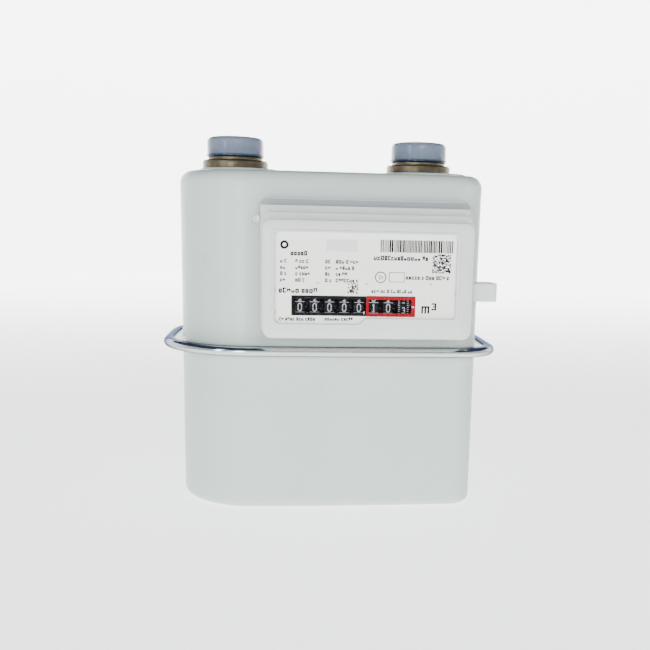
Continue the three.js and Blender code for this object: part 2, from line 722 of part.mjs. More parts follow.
// Drum k, with the toothed ring that its transfer pinion turns on its right side.
function drum(k) {
  const left = drumX(k) - DRUM_W / 2;
  const right = drumX(k) + DRUM_W / 2;
  const ringLeft = right - RING_W;
  const bore = circle(DRUM_Y, DRUM_Z, AXLE_R + FIT, 12).reverse();
  const last = k === DRUMS - 1;
  const body = alongX(circle(DRUM_Y, DRUM_Z, DRUM_R, 24), [left, last ? right : ringLeft], [bore]);
  const parts = [body];
  if (!last) {
    const teeth = gearOutline(DRUM_Y, DRUM_Z, CARRY_TEETH, CARRY_MODULE, PINION_ANGLE);
    parts.push(alongX(teeth, [ringLeft - 0.2, right], [bore]));
  }
  const pocket = alongX(
    circle(DRUM_Y, DRUM_Z + MAGNET_UP, MAGNET_R + GAP, 12), [right - MAGNET_POCKET, right + 1]);
  add(`drum_${k + 1}`, carve(parts, last ? [pocket] : []), 'black');
}

function transferPinion(k) {
  const right = drumX(k) + DRUM_W / 2;
  const phase = PINION_ANGLE + Math.PI + Math.PI / PINION_TEETH;
  const teeth = gearOutline(PINION_Y, PINION_Z, PINION_TEETH, CARRY_MODULE, phase);
  const bore = circle(PINION_Y, PINION_Z, PINION_AXLE_R + FIT, 10).reverse();
  add(`transfer_pinion_${k + 1}`, alongX(teeth, [right - RING_W + 0.15, right - 0.1], [bore]), 'gear');
}

function drumDrive() {
  const start = drumX(DRUMS - 1) + DRUM_W / 2 - MAGNET_POCKET + GAP;
  const magnet = circle(DRUM_Y, DRUM_Z + MAGNET_UP, MAGNET_R, 12);
  add('pulse_magnet', alongX(magnet, [start, start + MAGNET_T]), 'magnet');
  const bore = circle(DRUM_Y, DRUM_Z, AXLE_R + FIT, 12).reverse();
  const wheel = gearOutline(DRUM_Y, DRUM_Z, CROSSED_TEETH, CROSSED_MODULE, 0);
  const width = [INPUT_X - CROSSED_HALF_W, INPUT_X + CROSSED_HALF_W];
  add('index_gear', alongX(wheel, width, [bore]), 'gear');
}

function inputShaft() {
  const shaft = alongY(circle(INPUT_X, INPUT_Z, AXLE_R, 12), [INPUT_Y, BASE_Y - 0.4]);
  const thread = alongY(circle(INPUT_X, INPUT_Z, INPUT_WORM_R, 14), INPUT_WORM_Y);
  add('input_shaft', carve([shaft, thread]), 'steel');
  const towards = Math.atan2(DRIVE_Z - INPUT_Z, DRIVE_X - INPUT_X);
  const teeth = gearOutline(INPUT_X, INPUT_Z, INPUT_TEETH, CHANGE_MODULE, towards);
  const bore = circle(INPUT_X, INPUT_Z, AXLE_R + FIT, 12).reverse();
  add('input_gear', alongY(teeth, GEAR_Y, [bore]), 'gear');
}

function driveShaft() {
  const bore = circle(DRIVE_X, DRIVE_Z, DRIVE_SHAFT_R + FIT, 12).reverse();
  add('drive_shaft', alongY(circle(DRIVE_X, DRIVE_Z, DRIVE_SHAFT_R, 12), DRIVE_SHAFT_Y), 'steel');
  const phase = Math.atan2(INPUT_Z - DRIVE_Z, INPUT_X - DRIVE_X) + Math.PI / CHANGE_TEETH;
  const change = gearOutline(DRIVE_X, DRIVE_Z, CHANGE_TEETH, CHANGE_MODULE, phase);
  add('change_gear', alongY(change, GEAR_Y, [bore]), 'gear');
  const wheelModule = WHEEL_R / (WHEEL_TEETH / 2 + TIP_SHARE);
  const wheel = gearOutline(DRIVE_X, DRIVE_Z, WHEEL_TEETH, wheelModule, Math.PI);
  add('drive_wheel', alongY(wheel, [-WHEEL_HALF_W, WHEEL_HALF_W], [bore]), 'gear');

  const barrel = alongY(circle(DRIVE_X, DRIVE_Z, GLAND_R, 20), GLAND_Y, [bore]);
  const shoulder = alongY(
    circle(DRIVE_X, DRIVE_Z, GLAND_SHOULDER_R, 20), GLAND_SHOULDER_Y, [bore]);
  add('gland_bush', carve([barrel, shoulder]), 'brass');
}

// ---- Measuring unit ----------------------------------------------------------------------------
function unitBody() {
  const frame = alongY(rectangle(UNIT_X, UNIT_Z, UNIT_R, 3), [-UNIT_HALF_D, UNIT_HALF_D]);
  const inner = rectangle(
    [UNIT_X[0] + UNIT_WALL, UNIT_X[1] - UNIT_WALL],
    [UNIT_Z[0] + UNIT_WALL, UNIT_Z[1] - UNIT_WALL], UNIT_R - UNIT_WALL, 3);
  const web = UNIT_WALL / 2;
  const table = alongZ(
    rectangle(TABLE_X, [-TABLE_HALF_D, TABLE_HALF_D], TABLE_R, 3), [UNIT_Z[1] + GAP, TABLE_TOP]);
  const riser = box(
    [-RISER_HALF_W, RISER_HALF_W], [-UNIT_HALF_D, UNIT_HALF_D], [UNIT_Z[1] - 1, UNIT_Z[1] + 1]);
  const feet = FOOT_X.map((x) => (
    box([x, x + FOOT_W], [-FOOT_HALF_D, FOOT_HALF_D], [SHEET + GAP, UNIT_Z[0] + 1])));
  const through = [UNIT_Z[1] - 5, TABLE_TOP + 1];
  const ports = [-PORT_Y, PORT_Y].map((y) => alongZ(rectangle(
    [CRANK_X - PORT_HALF_W, CRANK_X + PORT_HALF_W], [y - PORT_HALF_D, y + PORT_HALF_D], 2, 2),
  through));
  const outlet = alongZ(circle(SPACING / 2, 0, DUCT_R - DUCT_FOOT, 18), [UNIT_Z[1] - 2, through[1]]);
  const rods = [-FLAG_Y, FLAG_Y].map((y) => (
    alongZ(circle(FLAG_X, y, FLAG_ROD_R + FIT, 12), through)));
  const pivot = alongZ(circle(CRANK_X, 0, JOURNAL_R + FIT, 12), [UNIT_Z[1] - 1, through[1]]);
  add('unit_body', carve([frame, riser, table, ...feet], [
    alongY(inner, [-UNIT_HALF_D - 1, -web]), alongY(inner, [web, UNIT_HALF_D + 1]),
    ...ports, outlet, ...rods, pivot,
  ]), 'unit');
}

// Measurements of one side's chamber. The rear one mirrors the front one in Y.
function chamberFrame(side) {
  const sign = side === 'front' ? -1 : 1;
  const sheetY = UNIT_HALF_D + GAP;
  return {
    sign,
    sheetY,
    flangeY: sheetY + SHEET_T + GAP,
    rodY: sign * FLAG_Y,
    tipX: FLAG_X + FLAG_REACH,
    armTip: [ARM_TIP[0], sign * ARM_TIP[1]],
    span: (near, far) => (sign < 0 ? [-far, -near] : [near, far]),
    outline: (inset) => rectangle(
      [UNIT_X[0] + inset, UNIT_X[1] - inset],
      [UNIT_Z[0] + inset, UNIT_Z[1] - inset], UNIT_R - inset, 3),
  };
}

// A clamped sheet with a rolled convolution round the disc.
function diaphragm(side) {
  const { sign, sheetY, span, outline } = chamberFrame(side);
  const hole = circle(0, DISC_Z, SHEET_HOLE_R, 20).reverse();
  const sheet = alongY(outline(0), span(sheetY, sheetY + SHEET_T), [hole]);
  const roll = [
    ...bend(ROLL_R, 0, ROLL_H[0], 0, 180, 3), ...bend(ROLL_R, 0, ROLL_H[1], 180, 0, 3)];
  const convolution = turnedRing(roll, 20)
    .rotateX(sign * -Math.PI / 2)
    .translate(0, sign * (sheetY + 0.1), DISC_Z);
  add(`${side}_diaphragm`, carve([sheet, convolution]), 'leather');
}

// A flanged cup closed away from the unit.
function chamberCover(side) {
  const { sign, flangeY, outline } = chamberFrame(side);
  const ring = (inset, depth) => (
    outline(inset).map(([x, z]) => [x, sign * (flangeY + depth), z]));
  const cup = skin([
    ring(0, 0), ring(0, CUP_RIM), ring(3, CUP_RIM), ring(5, CUP_DEPTH - 5.5), ring(10, CUP_DEPTH),
  ]);
  const hollow = skin([
    ring(5, -1), ring(7, CUP_DEPTH - 4.3 - CUP_T), ring(11, CUP_DEPTH - CUP_T)]);
  add(`${side}_chamber_cover`, carve([cup], [hollow]), 'unit');
}

// The diaphragm's plate, with a slotted bracket that the flag's pin rides in.
function chamberDisc(side) {
  const { rodY, tipX, span } = chamberFrame(side);
  const plate = alongY(
    circle(0, DISC_Z, DISC_R, 20), span(DISC_Y - DISC_HALF_T, DISC_Y + DISC_HALF_T));
  const jaws = [-JAW_Z, JAW_Z].map((up) => box(
    [tipX - JAW_HALF_W, tipX + JAW_HALF_W], span(FLAG_Y - JAW_REACH, DISC_Y),
    [DISC_Z + up - 1, DISC_Z + up + 1]));
  const slotHalfW = FLAG_PIN_R + 0.4;
  const slot = rectangle(
    [tipX - 2.2, tipX + 1.6], [rodY - slotHalfW, rodY + slotHalfW], slotHalfW - FIT, 2);
  const slotZ = [DISC_Z - JAW_Z - 4, DISC_Z + JAW_Z + 4];
  add(`${side}_disc`, carve([plate, ...jaws], [alongZ(slot, slotZ)]), 'gear');
}

// A vertical rod, a plate and a pin at the plate's tip.
function flag(side) {
  const { rodY, tipX } = chamberFrame(side);
  const pinZ = JAW_Z + 1.5;
  add(`${side}_flag`, carve([
    alongZ(circle(FLAG_X, rodY, FLAG_ROD_R, 12), [UNIT_Z[0] + UNIT_WALL + 1, ARM_Z + ARM_T + 0.6]),
    box([FLAG_X, tipX], [rodY - 0.8, rodY + 0.8], [DISC_Z - FLAG_HALF_H, DISC_Z + FLAG_HALF_H]),
    alongZ(circle(tipX, rodY, FLAG_PIN_R, 10), [DISC_Z - pinZ, DISC_Z + pinZ]),
  ]), 'steel');
}

// The arm on the flag's rod, above the table, with the pin that carries the link.
function flagArm(side) {
  const { rodY, armTip } = chamberFrame(side);
  const bar = barBetween([FLAG_X, rodY], armTip, ARM_HALF_W);
  const bore = alongZ(circle(FLAG_X, rodY, FLAG_ROD_R + FIT, 12), [ARM_Z - 1, ARM_Z + ARM_T + 1]);
  add(`${side}_arm`, carve([
    alongZ(bar, [ARM_Z, ARM_Z + ARM_T]),
    alongZ(circle(FLAG_X, rodY, ARM_HUB_R, 16), [ARM_Z, ARM_Z + ARM_T]),
    alongZ(circle(...armTip, LINK_PIN_R, 10), [ARM_Z, LINK_Z[side] + LINK_T + 0.6]),
  ], [bore]), 'gear');
}

// The link from the arm to above the crank's pin.
function link(side) {
  const { armTip } = chamberFrame(side);
  const eye = [CRANK_X - CRANK_THROW, 0];
  const level = [LINK_Z[side], LINK_Z[side] + LINK_T];
  const past = [level[0] - 1, level[1] + 1];
  add(`${side}_link`, carve([
    alongZ(barBetween(armTip, eye, LINK_HALF_W), level),
    alongZ(circle(...armTip, LINK_EYE_R, 14), level),
    alongZ(circle(...eye, LINK_EYE_R, 14), level),
  ], [armTip, eye].map((p) => alongZ(circle(...p, LINK_PIN_R + FIT, 10), past))), 'gear');
}

// The outline of a straight bar of a given half width between two points in plan.
function barBetween(from, to, half) {
  const along = new THREE.Vector2(to[0] - from[0], to[1] - from[1]).normalize();
  const [dx, dy] = [-along.y * half, along.x * half];
  return [
    [from[0] - dx, from[1] - dy], [to[0] - dx, to[1] - dy],
    [to[0] + dx, to[1] + dy], [from[0] + dx, from[1] + dy],
  ];
}

// The valve turns on the table's flat top. A pocket in its face joins the ports in turn.
function rotaryValve() {
  const seat = TABLE_TOP + GAP;
  const dome = [
    [VALVE_BORE_R, seat], [VALVE_R, seat], [VALVE_R, seat + VALVE_T],
    [VALVE_R - VALVE_H, seat + VALVE_H], [VALVE_BORE_R, seat + VALVE_H],
  ];
  const pocket = alongZ(rectangle(
    [CRANK_X - VALVE_R + 4, CRANK_X - 4.5], [-9, 9], 3, 3), [seat - 1, seat + VALVE_H - VALVE_T]);
  add('rotary_valve', carve([turnedRing(dome, 20, CRANK_X)], [pocket]), 'gear');
}

function crank() {
  const step = TABLE_TOP + 0.5;
  const shaft = [
    [0, CRANK_Z[0]], [JOURNAL_R, CRANK_Z[0]], [JOURNAL_R, step], [CRANK_R, step],
    [CRANK_R, WORM_Z[0] - 0.5], [WORM_R, WORM_Z[0]], [WORM_R, WORM_Z[1]],
    [CRANK_R, WORM_Z[1] + 0.5], [CRANK_R, JOURNAL_Z], [JOURNAL_R, JOURNAL_Z],
    [JOURNAL_R, CRANK_Z[1]], [0, CRANK_Z[1]],
  ];
  const pin = [CRANK_X - CRANK_THROW, 0];
  const armZ = [ARM_Z - 1, ARM_Z + 1.5];
  add('crank', carve([
    turned(shaft, 12, CRANK_X),
    alongZ(barBetween([CRANK_X, 0], pin, CRANK_ARM_HALF_W), armZ),
    alongZ(circle(...pin, CRANK_ARM_HALF_W, 14), armZ),
    alongZ(circle(...pin, LINK_PIN_R, 10), [ARM_Z, LINK_Z.front - 0.5]),
  ]), 'steel');
}

// Bridge that holds the upper end of the crank and the inner end of the drive shaft.
function crankBridge() {
  const lowZ = BRIDGE_TOP - BRIDGE_T;
  const parts = [
    box(BRIDGE_X, BRIDGE_Y, [TABLE_TOP + GAP, BRIDGE_TOP]),
    box([CRANK_X - 6, CRANK_X + 6], [-5, BRIDGE_Y[1]], [lowZ, BRIDGE_TOP]),
  ];
  const shaftHole = circle(DRIVE_X, DRIVE_Z, DRIVE_SHAFT_R + FIT, 12);
  const journalHole = circle(CRANK_X, 0, JOURNAL_R + FIT, 12);
  add('crank_bridge', carve(parts, [
    alongY(shaftHole, [BRIDGE_Y[0] - 1, BRIDGE_Y[1] + 1]),
    alongZ(journalHole, [lowZ - 1, BRIDGE_TOP + 1]),
  ]), 'unit');
}

function outletDuct() {
  const inner = SPIGOT_R + GAP;
  const foot = TABLE_TOP + GAP;
  const top = SPIGOT_BOTTOM + DUCT_OVERLAP;
  const profile = [
    [inner, foot], [DUCT_R + DUCT_FOOT, foot], [DUCT_R + DUCT_FOOT, foot + DUCT_FOOT_H],
    [DUCT_R, foot + DUCT_FOOT_H], [DUCT_R, top], [inner, top],
  ];
  add('outlet_duct', turnedRing(profile, 20, SPACING / 2), 'unit');
}

// ---- Assembly ----------------------------------------------------------------------------------
lowerCasing();
upperCasing();
casingGasket();
clampBand();
connection('inlet');
connection('outlet');
indexBase();
indexCover();
indexWindow();
namePlate();
sealPlug();
indexFrame();
for (let k = 0; k < DRUMS; k++) {
  drum(k);
}
for (let k = 0; k < DRUMS - 1; k++) {
  transferPinion(k);
}
drumDrive();
inputShaft();
driveShaft();
unitBody();
for (const side of ['front', 'rear']) {
  diaphragm(side);
  chamberCover(side);
  chamberDisc(side);
  flag(side);
  flagArm(side);
  link(side);
}
rotaryValve();
crank();
crankBridge();
outletDuct();

export default meter;
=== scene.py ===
"""Looks of a diaphragm gas meter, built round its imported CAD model. Lengths are in millimetres
until a mesh is made, and the frame is the CAD's: X to the right, Y to the back, Z up."""

import json
import math
import random

import bmesh
import bpy
from mathutils import Matrix, Vector


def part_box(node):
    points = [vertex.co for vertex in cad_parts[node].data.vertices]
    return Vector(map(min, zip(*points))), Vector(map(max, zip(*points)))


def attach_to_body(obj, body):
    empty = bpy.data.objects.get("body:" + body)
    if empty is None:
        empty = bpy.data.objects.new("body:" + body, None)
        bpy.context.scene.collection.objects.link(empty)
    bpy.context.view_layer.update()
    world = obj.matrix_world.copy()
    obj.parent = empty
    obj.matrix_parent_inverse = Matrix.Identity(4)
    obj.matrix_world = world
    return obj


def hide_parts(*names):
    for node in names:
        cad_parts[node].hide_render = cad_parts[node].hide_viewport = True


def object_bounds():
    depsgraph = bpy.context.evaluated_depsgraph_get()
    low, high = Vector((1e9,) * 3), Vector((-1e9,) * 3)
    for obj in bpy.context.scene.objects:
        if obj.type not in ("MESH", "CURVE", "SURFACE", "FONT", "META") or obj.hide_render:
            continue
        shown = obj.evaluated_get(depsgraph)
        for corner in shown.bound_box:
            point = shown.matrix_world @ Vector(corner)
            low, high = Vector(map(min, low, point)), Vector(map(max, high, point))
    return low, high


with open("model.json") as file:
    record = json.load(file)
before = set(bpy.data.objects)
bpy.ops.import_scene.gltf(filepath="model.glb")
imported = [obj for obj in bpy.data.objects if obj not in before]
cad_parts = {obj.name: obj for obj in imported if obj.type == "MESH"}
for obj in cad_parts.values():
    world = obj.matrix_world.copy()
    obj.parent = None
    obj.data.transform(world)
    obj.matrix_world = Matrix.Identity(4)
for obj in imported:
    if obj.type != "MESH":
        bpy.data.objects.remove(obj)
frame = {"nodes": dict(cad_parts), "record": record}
CAD_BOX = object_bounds()

MM = 0.001
NODE_BODY = {
    node: body
    for body, nodes in frame["record"]["behaviour"]["bodies"].items()
    for node in nodes
}
NODE_SLOT = {part["node"]: part["material_slot"] for part in frame["record"]["subparts"]}


def box_mm(node):
    """Lowest and highest corner of a CAD node, in millimetres."""
    low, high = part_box(node)
    return low / MM, high / MM


def middle_mm(node):
    low, high = box_mm(node)
    return (low + high) / 2


# ---- Sizes that the CAD boxes don't give --------------------------------------------------------
GAP = 0.3                    # clearance that the CAD keeps between touching pieces
SHEET = 1.0                  # casing sheet
FLANGE_OUT = 8.6             # how far the casing's flanges stand out from its wall
LEFT_R, RIGHT_R = 36, 12     # corner radii in plan
BULGE_FRONT = 2              # crown of the front and back walls
BULGE_LEFT, BULGE_RIGHT = 3.5, 1.5
ROOT_R = 2.4                 # fillet between wall and flange
TOP_R, BASE_R = 7, 5         # fillets round the top and the underside
PAD_W, PAD_D, PAD_R = 54, 92, 24
PAD_H = 1.3
BAND_T = 0.8                 # clamp band strip
BAND_LIP = 5.2               # where the band's lips end, outward from the wall
LEDGE_DEPTH, LEDGE_RISE, LEDGE_SIDE = 6.8, 3.8, 0.55
COVER_R = 4.6
FACE_STEP = 0.4              # the cover's face lies this far behind the window's frame
LIP = 0.3                    # rounding of each ledge's front edge
LIP_DIP = 0.35               # and the dip behind it
WALL = 2                     # index housing wall
BASE_FLOOR = 2.4
GLAND_HOLE_R, SHAFT_HOLE_R = 5 + GAP, 1.6
WINDOW_STEP_X, WINDOW_STEP_RISE, WINDOW_STEP_RUN = 13.2, 3.3, 3.7
LUG_Z = (122.9, 132.8)
LUG_BACK, LUG_FRONT = -59.6, -75
LUG_STRAP = 1.5
EAR_R, EAR_BORE_R = 2.4, 1.1
EAR_FRONT, EAR_BACK = -62.8, -57.9
PLUG_STEM_R, PLUG_HOLLOW_R = 0.95, 0.85
PLUG_NECK_Y, PLUG_HEAD_Y = -63.4, -63.1
SPIGOT_HOLE_R = 14.5
SPIGOT_R, BORE_R, NECK_R, THREAD_R = 14.2, 11.5, 16, 15.1
NECK_H = 1.8
CAP_LIFT = 1                 # the cap's rim ends this far above the foot of its CAD solid
THREAD_PITCH = 2
THREAD_DEPTH = 1.2
DRUM_PITCH_DEG = 36          # ten digits to a turn
DRUM_BORE_R, DRUM_RING_W = 1.6, 1.5
TOOTH_ROOT_R, TOOTH_TIP_R, DRUM_TEETH = 7.0, 8.5, 20

upper_low, upper_high = box_mm("upper_casing")
lower_low, lower_high = box_mm("lower_casing")
band_low, band_high = box_mm("clamp_band")
cover_low, cover_high = box_mm("index_cover")
base_low, base_high = box_mm("index_base")
pane_low, pane_high = box_mm("index_window")
plate_low, plate_high = box_mm("name_plate")

HALF_W = upper_high.x - FLANGE_OUT
HALF_D = upper_high.y - FLANGE_OUT
TOP_Z = upper_high.z - PAD_H
COVER_LEFT = cover_low.x + 2 * LEDGE_SIDE
COVER_RIGHT = cover_high.x - 2 * LEDGE_SIDE
COVER_BOTTOM = cover_low.z
COVER_TOP = cover_high.z - 2 * LEDGE_RISE
FRONT_Y = cover_low.y


# ---- Outlines -----------------------------------------------------------------------------------
def rounded(corners, radii, arc_steps=6, side_steps=1):
    """Points round a polygon whose corners are rounded, with each side cut into side_steps."""
    count = len(corners)
    bends = []
    for i, corner in enumerate(corners):
        at = Vector(corner)
        back = (Vector(corners[i - 1]) - at).normalized()
        ahead = (Vector(corners[(i + 1) % count]) - at).normalized()
        half_angle = back.angle(ahead) / 2
        centre = at + (back + ahead).normalized() * radii[i] / math.sin(half_angle)
        start = at + back * radii[i] / math.tan(half_angle) - centre
        end = at + ahead * radii[i] / math.tan(half_angle) - centre
        first = math.atan2(start.y, start.x)
        turn = math.remainder(math.atan2(end.y, end.x) - first, math.tau)
        bends.append([
            (centre.x + radii[i] * math.cos(first + turn * k / arc_steps),
             centre.y + radii[i] * math.sin(first + turn * k / arc_steps))
            for k in range(arc_steps + 1)
        ])
    points = []
    for i, bend in enumerate(bends):
        points += bend
        start, end = Vector(bend[-1]), Vector(bends[(i + 1) % count][0])
        points += [tuple(start.lerp(end, k / side_steps)) for k in range(1, side_steps)]
    return points


def rectangle(left, right, bottom, top, radius, arc_steps=5):
    corners = [(left, bottom), (right, bottom), (right, top), (left, top)]
    return rounded(corners, [radius] * 4, arc_steps)


def circle(x, y, radius, segments=48):
    turns = [math.tau * k / segments for k in range(segments)]
    return [(x + radius * math.cos(t), y + radius * math.sin(t)) for t in turns]


def arc(centre, radius, start, end, steps):
    """Points on an arc, with its angles in degrees."""
    turns = [math.radians(start + (end - start) * k / steps) for k in range(steps + 1)]
    return [(centre[0] + radius * math.cos(t), centre[1] + radius * math.sin(t)) for t in turns]


def between(start, end, steps):
    """Evenly spaced values after start, up to end."""
    return [start + (end - start) * k / steps for k in range(1, steps + 1)]


def smooth_step(value, start, end):
    t = min(1, max(0, (value - start) / (end - start)))
    return t * t * (3 - 2 * t)


def flat(points, z):
    """An (x, y) outline at height z."""
    return [(x, y, z) for x, y in points]


def upright(points, y):
    """An (x, z) outline at depth y."""
    return [(x, y, z) for x, z in points]


# ---- Mesh code ----------------------------------------------------------------------------------
def ring(mesh, points):
    return [mesh.verts.new(Vector(p) * MM) for p in points]


def bridge(mesh, first, second):
    count = len(first)
    for i in range(count):
        j = (i + 1) % count
        mesh.faces.new((first[i], first[j], second[j], second[i]))


def loft(mesh, outlines, looped=False):
    """Joins closed outlines with the same number of points into a skin, and returns their rings."""
    rings = [ring(mesh, outline) for outline in outlines]
    for first, second in zip(rings, rings[1:]):
        bridge(mesh, first, second)
    if looped:
        bridge(mesh, rings[-1], rings[0])
    return rings


def fill(mesh, *rings):
    """Fills the first ring, leaving the others open as holes."""
    edges = []
    for members in rings:
        for a, b in zip(members, members[1:] + members[:1]):
            edges.append(mesh.edges.get((a, b)) or mesh.edges.new((a, b)))
    bmesh.ops.triangle_fill(mesh, use_beauty=True, edges=edges)


def solid(mesh, outlines):
    """A loft that is closed at both ends."""
    rings = loft(mesh, outlines)
    mesh.faces.new(rings[0])
    mesh.faces.new(rings[-1])
    return rings


def lathe(mesh, profile, x, y, segments=64, looped=True):
    """Turns (radius, z) points about a vertical axis. A radius may be a function of the angle."""
    outlines = []
    for radius, z in profile:
        outline = []
        for k in range(segments):
            turn = math.tau * k / segments
            r = radius(turn) if callable(radius) else radius
            outline.append((x + r * math.cos(turn), y + r * math.sin(turn), z))
        outlines.append(outline)
    return loft(mesh, outlines, looped)


def piece(name, mesh, node, material=None, sharp=32, thickness=0.0):
    """Makes a shown piece that stands for a CAD node and rides on its body. Edges that turn by
    more than sharp degrees stay crisp."""
    bmesh.ops.recalc_face_normals(mesh, faces=mesh.faces)
    if thickness and mesh.calc_volume(signed=True) < 0:
        bmesh.ops.reverse_faces(mesh, faces=mesh.faces)
    data = bpy.data.meshes.new(name)
    mesh.to_mesh(data)
    mesh.free()
    smooth(data, sharp)
    made = bpy.data.objects.new(name, data)
    bpy.context.scene.collection.objects.link(made)
    data.materials.append(material or SLOT_MATERIAL[NODE_SLOT[node]])
    if thickness:
        sheet = made.modifiers.new("sheet", "SOLIDIFY")
        sheet.thickness = thickness * MM
        sheet.offset = -1
        sheet.use_even_offset = True
    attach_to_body(made, NODE_BODY[node])
    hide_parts(node)
    return made


def smooth(data, sharp):
    data.polygons.foreach_set("use_smooth", [True] * len(data.polygons))
    data.set_sharp_from_angle(angle=math.radians(sharp))


# ---- Materials ----------------------------------------------------------------------------------
def finish(name, color, roughness, tint=0.05, size=4.0, bump=0.1, grain=0.5,
           stretch=(1, 1, 1), spread=0.08, **sockets):
    """A surface whose colour and roughness drift over `size` mm, with a relief of `grain` mm.
    sockets are constants on the shader itself."""
    material = bpy.data.materials.new(name)
    material.use_nodes = True
    nodes, links = material.node_tree.nodes, material.node_tree.links
    shader = nodes["Principled BSDF"]
    for socket, value in sockets.items():
        shader.inputs[socket.replace("_", " ")].default_value = value

    place = nodes.new("ShaderNodeTexCoord")
    mapping = nodes.new("ShaderNodeMapping")
    mapping.inputs["Scale"].default_value = stretch
    links.new(place.outputs["Object"], mapping.inputs["Vector"])

    def noise(width, detail):
        made = nodes.new("ShaderNodeTexNoise")
        made.inputs["Scale"].default_value = 1 / (width * MM)
        made.inputs["Detail"].default_value = detail
        links.new(mapping.outputs["Vector"], made.inputs["Vector"])
        return made

    drift = noise(size, 5)
    ramp = nodes.new("ShaderNodeValToRGB")
    ramp.color_ramp.elements[0].position = 0.3
    ramp.color_ramp.elements[1].position = 0.7
    ramp.color_ramp.elements[0].color = (*[c * (1 - tint) for c in color], 1)
    ramp.color_ramp.elements[1].color = (*[min(1, c * (1 + tint)) for c in color], 1)
    links.new(drift.outputs["Fac"], ramp.inputs["Fac"])
    links.new(ramp.outputs["Color"], shader.inputs["Base Color"])

    range_ = nodes.new("ShaderNodeMapRange")
    range_.inputs["From Min"].default_value = 0.3
    range_.inputs["From Max"].default_value = 0.7
    range_.inputs["To Min"].default_value = max(0.02, roughness - spread)
    range_.inputs["To Max"].default_value = min(1, roughness + spread)
    links.new(noise(size / 2, 4).outputs["Fac"], range_.inputs["Value"])
    links.new(range_.outputs["Result"], shader.inputs["Roughness"])

    relief = nodes.new("ShaderNodeBump")
    relief.inputs["Strength"].default_value = bump
    relief.inputs["Distance"].default_value = grain * MM / 4
    links.new(noise(grain, 3).outputs["Fac"], relief.inputs["Height"])
    links.new(relief.outputs["Normal"], shader.inputs["Normal"])
    return material


SLOT_MATERIAL = {
    "casing_paint": finish(
        "casing_paint", (0.45, 0.525, 0.49), 0.34, tint=0.02, size=60, bump=0.15, grain=1.1,
        IOR=1.3, Coat_Weight=0.2, Coat_Roughness=0.12),
    # Painted reflection: the band's steel has a dark navy specular tint, which darkens it to navy
    # towards its edges.
    "band_steel": finish(
        "band_steel", (0.60, 0.61, 0.60), 0.14, tint=0.06, size=8, bump=0.05, grain=0.4,
        stretch=(1, 1, 8), Metallic=1.0, Specular_Tint=(0.05, 0.07, 0.12, 1)),
    "seal_rubber": finish("seal_rubber", (0.018, 0.018, 0.02), 0.62, tint=0.3, size=2),
    "fitting_bronze": finish(
        "fitting_bronze", (0.15, 0.125, 0.078), 0.36, tint=0.22, size=3, bump=0.3, grain=0.3,
        Metallic=0.85),
    "cap_plastic": finish(
        "cap_plastic", (0.22, 0.265, 0.35), 0.14, tint=0.05, size=7, bump=0.02, grain=3,
        spread=0.04, Transmission_Weight=0.35, IOR=1.4),
    "cover_plastic": finish(
        "cover_plastic", (0.58, 0.60, 0.59), 0.40, tint=0.02, size=20, bump=0.2, grain=0.35),
    "window_plastic": finish(
        "window_plastic", (0.02, 0.022, 0.024), 0.05, tint=0.02, size=30, bump=0.02, grain=1,
        spread=0.03, Alpha=0.025, Specular_IOR_Level=0.3),
    "label": finish(
        "label", (0.92, 0.91, 0.87), 0.5, tint=0.015, size=12, bump=0.06, grain=0.25,
        Specular_IOR_Level=0.3),
    "seal_plug": finish("seal_plug", (0.74, 0.69, 0.58), 0.45, tint=0.08, size=1.5),
    "drum_plastic": finish(
        "drum_plastic", (0.006, 0.006, 0.007), 0.4, tint=0.2, size=3, bump=0.02,
        Specular_IOR_Level=0.1),
    "gear_plastic": finish("gear_plastic", (0.62, 0.60, 0.52), 0.42, tint=0.08, size=3),
    "shaft_steel": finish(
        "shaft_steel", (0.60, 0.60, 0.61), 0.24, tint=0.08, size=4, stretch=(1, 1, 6),
        Metallic=1.0),
    "magnet": finish("magnet", (0.10, 0.10, 0.11), 0.35, tint=0.2, size=1, Metallic=0.9),
    "bush_brass": finish("bush_brass", (0.58, 0.42, 0.18), 0.28, tint=0.12, size=2, Metallic=1.0),
    "unit_plastic": finish(
        "unit_plastic", (0.05, 0.052, 0.055), 0.5, tint=0.15, size=10, bump=0.2, grain=0.6),
    "diaphragm_rubber": finish(
        "diaphragm_rubber", (0.09, 0.05, 0.03), 0.7, tint=0.25, size=3, bump=0.4, grain=0.6),
}
INK = {"size": 1, "bump": 0.03, "Specular_IOR_Level": 0.1}
BLACK_INK = finish("black_ink", (0.007, 0.007, 0.008), 0.5, tint=0.3, **INK)
RED_INK = finish("red_ink", (0.27, 0.003, 0.010), 0.45, tint=0.08, **INK)
# Painted shade: the drum digits' white ink is greyed because the drums sit back in shade behind the
# window. WHITE_INK is the same ink unshaded.
SHADED_DRUM_INK = finish("drum_ink_painted_shade", (0.42, 0.44, 0.46), 0.5, tint=0.05, **INK)
WHITE_INK = finish("white_ink", (0.70, 0.71, 0.70), 0.5, tint=0.05, **INK)


def ranged(nodes, links, value, low, high):
    """0 below low, 1 above high, and smooth between."""
    made = nodes.new("ShaderNodeMapRange")
    made.interpolation_type = "SMOOTHSTEP"
    made.inputs["From Min"].default_value = low
    made.inputs["From Max"].default_value = high
    links.new(value, made.inputs["Value"])
    return made.outputs["Result"]


def computed(nodes, links, operation, first, second):
    """A maths node. second is a socket or a number, and MULTIPLY_ADD adds 1 to their product."""
    made = nodes.new("ShaderNodeMath")
    made.operation = operation
    links.new(first, made.inputs[0])
    if isinstance(second, (int, float)):
        made.inputs[1].default_value = second
    else:
        links.new(second, made.inputs[1])
    made.inputs[2].default_value = 1.0
    return made.outputs["Value"]


def coordinate(nodes, links, axis):
    place = nodes.new("ShaderNodeTexCoord")
    apart = nodes.new("ShaderNodeSeparateXYZ")
    links.new(place.outputs["Object"], apart.inputs["Vector"])
    return apart.outputs[axis]


